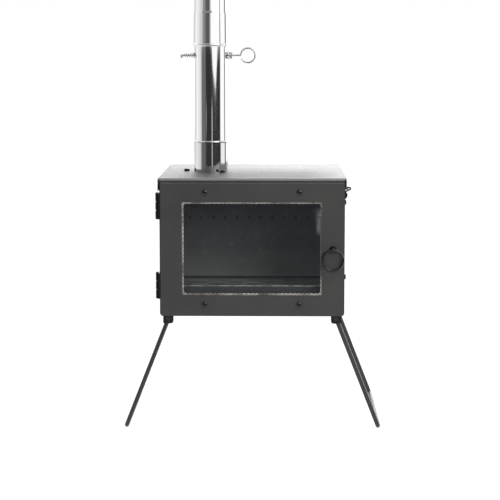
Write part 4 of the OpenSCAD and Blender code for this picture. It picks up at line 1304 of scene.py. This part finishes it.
@dataclass
class Fasteners(Assembly):
    """Screws, nuts and rivets: one rounded pattern of each kind, set at every place."""

    edge: float = 0.2 * MM
    on_door: tuple[str, ...] = ("door_screws", "door_nuts")
    on_casing: tuple[str, ...] = (
        "collar_screws",
        "collar_nuts",
        "side_screws",
        "side_nuts",
        "bracket_rivets",
        "shutter_rivets",
        "hinge_rivets",
    )

    def build(self) -> None:
        """Sets every kind at its places with one Geometry Nodes tree."""
        tree = fastener_tree()
        for seed, node in enumerate(self.on_door + self.on_casing):
            body = Body.DOOR if node in self.on_door else Body.CASING
            slot = Slot.FITTINGS if node == "hinge_rivets" else Slot.SCREWS
            self.set_out(tree, node, seed, body, slot)

    def set_out(self, tree: ShapeTree, node: str, seed: int, body: Body, slot: Slot) -> None:
        """Sets one kind of fastener at the places of a CAD node's solids.

        Args:
            tree: The fastener tree.
            node: CAD node that holds one solid for each fastener.
            seed: Seed of the random spin about each fastener's own axis.
            body: Body that all of them ride on.
            slot: Slot of the record; not used.
        """
        rounded = rounded_copy(node, self.edge)
        shape = bmesh.new()
        shape.from_mesh(rounded.data)
        bpy.data.objects.remove(rounded)
        solids = self.islands(shape)
        places = [self.place_of(solid) for solid in solids]
        extra = [v for solid in solids[1:] for v in solid]
        bmesh.ops.delete(shape, geom=extra, context="VERTS")
        centre, way = places[0]
        turn = way.rotation_difference(Vector((0, 0, 1))).to_matrix().to_4x4()
        shape.transform(turn @ Matrix.Translation(-centre))
        pattern = new_object("pattern", to_mesh("pattern", shape))
        values = {
            "Fastener": pattern,
            "Size": 1.0,
            "Spin": math.tau,
            "Seed": seed,
            "Material": self.palette.screw,
        }
        made = tree.build(node + "_set", points_mesh(*zip(*places)), values)
        bpy.data.objects.remove(pattern)
        hand_over(made, body, self.palette.screw, (node,))

    def islands(self, shape: BMesh) -> list[list[BMVert]]:
        """Sorts a mesh's vertices into its separate solids and returns them."""
        left = set(shape.verts)
        solids = []
        for seed in shape.verts:
            if seed not in left:
                continue
            left.discard(seed)
            solid, front = [seed], [seed]
            while front:
                for edge in front.pop().link_edges:
                    for vert in edge.verts:
                        if vert in left:
                            left.discard(vert)
                            solid.append(vert)
                            front.append(vert)
            solids.append(solid)
        return solids

    def place_of(self, solid: Sequence[BMVert]) -> tuple[Vector, Vector]:
        """Gives the middle of a turned solid and the way its head, its wider end, faces."""
        low, high = (Vector(pick(v.co[i] for v in solid) for i in range(3)) for pick in (min, max))
        size, centre = high - low, (low + high) / 2
        axis = min(range(3), key=lambda i: abs(size[(i + 1) % 3] - size[(i + 2) % 3]))
        third = size[axis] / 3
        top = [v for v in solid if v.co[axis] > high[axis] - third]
        foot = [v for v in solid if v.co[axis] < low[axis] + third]
        reach = [max(self.off_axis(v, centre, axis) for v in end) for end in (top, foot)]
        way = Vector((0, 0, 0))
        way[axis] = 1 if reach[0] >= reach[1] - 0.001 * MM else -1
        return centre, way

    def off_axis(self, vert: BMVert, centre: Vector, axis: int) -> float:
        """Gives a vertex's distance from the line through the centre along an axis."""
        out = vert.co - centre
        out[axis] = 0.0
        return out.length


# ---------------- studio


@dataclass(frozen=True)
class Flag:
    """A dark or grey screen of the studio that the polished flue mirrors.

    Bearings are in degrees round the stove: 0 is behind the camera, and they
    grow to the camera's right. Top and bottom are upward slopes.
    """

    left: float
    right: float
    level: float
    soft: float = 2.0
    top: float = 0.35
    bottom: float = -2.0
    edge: float = 0.002

    def cover(self, tree: NodeTree, bearing: NodeSocket, up: NodeSocket) -> NodeSocket:
        """Gives how much of a direction the screen covers, from 0 to 1."""
        past_left = ramp(tree, bearing, self.left - self.soft, self.left + self.soft, 0, 1)
        before_right = ramp(tree, bearing, self.right - self.soft, self.right + self.soft, 1, 0)
        below = ramp(tree, up, self.top - self.edge, self.top + self.edge, 1, 0)
        above = ramp(tree, up, self.bottom - self.edge, self.bottom + self.edge, 0, 1)
        return product(tree, past_left, before_right, below, above)


@dataclass(frozen=True)
class Slit:
    """The bright gap between two screens, which widens towards the flue's top.

    The bearings are those of its two sides at its foot and at its top, and
    foot and top are upward slopes.
    """

    foot: float = -0.0265
    top: float = 0.0
    left: tuple[float, float] = (35.0, 9.0)
    right: tuple[float, float] = (35.0, 51.0)
    bow: float = 2.5
    soft: float = 2.0
    cut: tuple[float, float] = (-0.028, -0.0255)

    def cover(self, tree: NodeTree, bearing: NodeSocket, up: NodeSocket) -> NodeSocket:
        """Gives how much of a direction the gap covers, from 0 to 1."""
        fall = calc(tree, "POWER", ramp(tree, up, self.foot, self.top, 1, 0), self.bow)
        left = ramp(tree, fall, 0, 1, self.left[1], self.left[0])
        right = ramp(tree, up, self.foot, self.top, *self.right)
        sides = [
            ramp(tree, calc(tree, "SUBTRACT", first, second), -self.soft, self.soft, 0, 1)
            for first, second in ((bearing, left), (right, bearing))
        ]
        return product(tree, *sides, ramp(tree, up, *self.cut, 0, 1))


@dataclass(frozen=True)
class Lamp:
    """One soft rectangular lamp.

    Attributes:
        name: Name of the lamp.
        place: Where it hangs.
        aim: The point it faces.
        size: Width and height.
        power: Its power in watts.
        mirrored: Whether polished surfaces show it.
    """

    name: str
    place: tuple[float, float, float]
    aim: tuple[float, float, float]
    size: tuple[float, float]
    power: float
    mirrored: bool = False

    def hang(self) -> None:
        """Hangs the lamp, out of sight of the camera."""
        data = bpy.data.lights.new(self.name, "AREA")
        data.shape = "RECTANGLE"
        data.size, data.size_y = self.size
        data.energy = self.power
        made = bpy.data.objects.new(self.name, data)
        bpy.context.scene.collection.objects.link(made)
        made.location = self.place
        way = Vector(self.aim) - Vector(self.place)
        made.rotation_euler = way.to_track_quat("-Z", "Y").to_euler()
        made.visible_glossy = self.mirrored
        made.visible_camera = False
        made.visible_transmission = False


@dataclass(frozen=True)
class Studio:
    """White sweep, soft light and the camera, none of which is part of the stove."""

    focal_px: float = 1700.0
    picture_px: float = 500.0
    sensor_mm: float = 36.0
    sight: float = 100.0
    eye: tuple[float, float, float] = (0.0458, -3.0699, 0.6716)
    tilt_down: float = 6.90
    turn_left: float = 0.97
    floor_grey: float = 0.34
    floor_glow: float = 0.86
    floor_reach: tuple[float, float, float] = (5.0, -0.95, 7.0)
    wall_level: float = 1.25
    room: tuple[float, float] = (0.11, 0.80)
    rim_gain: float = 2.0
    flags: tuple[Flag, ...] = (
        Flag(-175, -62, 1.0, soft=7),
        Flag(-179, -112, 0.49, soft=5),
        Flag(-152, -126, 0.40, soft=5),
        Flag(-77, -51, 0.75, soft=8),
        Flag(-55, -23, 0.32, soft=3),
        Flag(-35, -1, 0.12, soft=7),
        Flag(60, 67.5, 0.35, soft=2),
        Flag(106, 126, 0.20, soft=4),
        Flag(-66, -35, 0.17, soft=3, top=0.0),
        Flag(-35, 70, 0.035, soft=4, top=0.0),
        Flag(7, 12, 0.75, soft=1.5, top=-0.036),
        Flag(-32, -28, 0.50, soft=1.5, top=-0.037, bottom=-0.049),
        Flag(-90, 90, 0.20, soft=5, top=-0.084),
        Flag(-110, 110, 0.28, soft=10, top=0.62, bottom=0.36),
        Flag(-110, 110, 0.36, soft=10, top=2.0, bottom=0.80),
        Flag(1.30, 1.42, 2.0, soft=0.06, top=-0.097, bottom=-0.110),
    )
    lamps: tuple[Lamp, ...] = (
        Lamp("key_upper_right", (0.6, -0.7, 1.05), (0.1, -0.1, 0.4), (0.5, 0.5), 3.4, True),
        Lamp("low_right", (0.95, -2.5, 0.90), (-0.05, 0, 0.25), (0.7, 0.5), 25.0),
        Lamp("low_left", (-0.95, -2.5, 0.90), (0.05, 0, 0.25), (0.5, 0.5), 6.0),
        Lamp("overhead", (0, 0.2, 2.6), (0, 0, 0.3), (2.0, 2.0), 10.0),
        Lamp("lid_rim", (0.10, 0.85, 0.56), (-0.02, 0.1, 0.44), (0.88, 0.18), 1.5, True),
        Lamp("fold_line", (0.0, 1.0, 1.05), (0, -0.15, 0.44), (1.2, 0.3), 2.5, True),
    )

    def build(self) -> None:
        """Makes the floor, the world, the lamps and the camera, and shows colours plainly."""
        bpy.context.scene.view_settings.view_transform = "Standard"
        self.lay_floor()
        self.light_world()
        for lamp in self.lamps:
            lamp.hang()
        self.place_camera()

    def lay_floor(self) -> None:
        """Lays a white floor that shows as white and keeps the stove's soft shadow."""
        side, front, back = self.floor_reach
        corners = [(-side, front, 0), (side, front, 0), (side, back, 0), (-side, back, 0)]
        mesh = bpy.data.meshes.new("floor")
        mesh.from_pydata(corners, [], [(0, 1, 2, 3)])
        material = bpy.data.materials.new("white paper sweep")
        tree = empty_tree(material)
        ray = add_node(tree, "ShaderNodeLightPath")
        seen = calc(tree, "MAXIMUM", ray.outputs["Is Camera Ray"], ray.outputs["Is Glossy Ray"])
        glow = product(tree, seen, self.floor_glow)
        grey = (self.floor_grey, self.floor_grey, self.floor_grey, 1)
        matt = add_node(tree, "ShaderNodeBsdfDiffuse", {"Color": grey})
        shine = add_node(tree, "ShaderNodeEmission", {"Strength": glow})
        sums = {0: matt, 1: shine}
        both = add_node(tree, "ShaderNodeAddShader", sums)
        add_node(tree, "ShaderNodeOutputMaterial", {"Surface": both})
        mesh.materials.append(material)
        new_object("floor", mesh)

    def mirrored_level(
        self, tree: NodeTree, along: NodeSocket, bearing: NodeSocket, up: NodeSocket
    ) -> tuple[NodeSocket, NodeSocket]:
        """Works out how bright each direction of the studio is.

        Args:
            tree: The world's tree.
            along: Direction away from the camera.
            bearing: Bearing in degrees.
            up: Upward slope.

        Returns:
            The level that gloss mirrors, and how much the low wall behind the stove is raised.
        """
        level = self.wall_level
        for flag in self.flags:
            level = blend(tree, flag.cover(tree, bearing, up), level, flag.level)
        level = blend(tree, Slit().cover(tree, bearing, up), level, self.wall_level)
        behind = product(tree, ramp(tree, along, 0.2, 0.5, 0, 1), ramp(tree, up, 0.35, 0.65, 1, 0))
        boost = ramp(tree, behind, 0, 1, 1.0, self.rim_gain)
        return product(tree, level, boost), boost

    def light_world(self) -> None:
        """Surrounds the stove with a white room that is dark behind the camera.

        The polished flue mirrors that dark side as its dark stripe. Below eye
        level it is wider, so the stripe is wider under the socket's rim. The
        camera sees plain white, and the room's even light is a simpler one.
        """
        world = bpy.data.worlds.new("studio")
        bpy.context.scene.world = world
        tree = empty_tree(world)
        ray = add_node(tree, "ShaderNodeLightPath")
        way = add_node(tree, "ShaderNodeTexCoord").outputs["Generated"]
        split = add_node(tree, "ShaderNodeSeparateXYZ", {0: way})
        across, along, up = (split.outputs[axis] for axis in "XYZ")
        turn = calc(tree, "ARCTAN2", across, product(tree, along, -1.0))
        bearing = product(tree, turn, math.degrees(1))
        level, boost = self.mirrored_level(tree, along, bearing, up)
        even = product(tree, boost, ramp(tree, along, -0.4, 0.3, *self.room))
        lit, mirrored, seen = (
            add_node(tree, "ShaderNodeBackground", {"Color": WHITE, "Strength": strength})
            for strength in (even, level, 1.0)
        )
        gloss = {0: ray.outputs["Is Glossy Ray"], 1: lit, 2: mirrored}
        eye = {0: ray.outputs["Is Camera Ray"], 2: seen}
        eye[1] = add_node(tree, "ShaderNodeMixShader", gloss)
        shown = add_node(tree, "ShaderNodeMixShader", eye)
        add_node(tree, "ShaderNodeOutputWorld", {"Surface": shown})

    def place_camera(self) -> None:
        """Stands the camera where the photograph was taken from."""
        data = bpy.data.cameras.new("camera")
        data.sensor_fit = "HORIZONTAL"
        data.sensor_width = self.sensor_mm
        data.lens = self.focal_px / self.picture_px * self.sensor_mm
        data.clip_end = self.sight
        camera = bpy.data.objects.new("camera", data)
        bpy.context.scene.collection.objects.link(camera)
        camera.location = self.eye
        tilt, turn = math.radians(90 - self.tilt_down), math.radians(self.turn_left)
        camera.rotation_euler = (tilt, 0, turn)
        bpy.context.scene.camera = camera


def main() -> None:
    """Builds every sub-assembly, then the studio."""
    logging.basicConfig(level=logging.INFO, format="%(name)s: %(message)s")
    palette = Palette()
    low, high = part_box("damper_pipe")
    axis = Vector(((low.x + high.x) / 2, (low.y + high.y) / 2, 0.0))
    low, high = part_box("damper_plate")
    rod_z = (low.z + high.z) / 2
    for assembly in (
        SheetCasing(palette),
        LooseGrate(palette),
        GlazedDoor(palette),
        RingLatch(palette),
        WireLegs(palette),
        AirShutter(palette),
        Flue(palette, axis, rod_z),
        Damper(palette, axis, rod_z),
        Fasteners(palette),
    ):
        assembly.build()
        LOG.info("built %s", type(assembly).__name__)
    Studio().build()
    bpy.context.view_layer.update()


if __name__ == "__main__":
    main()
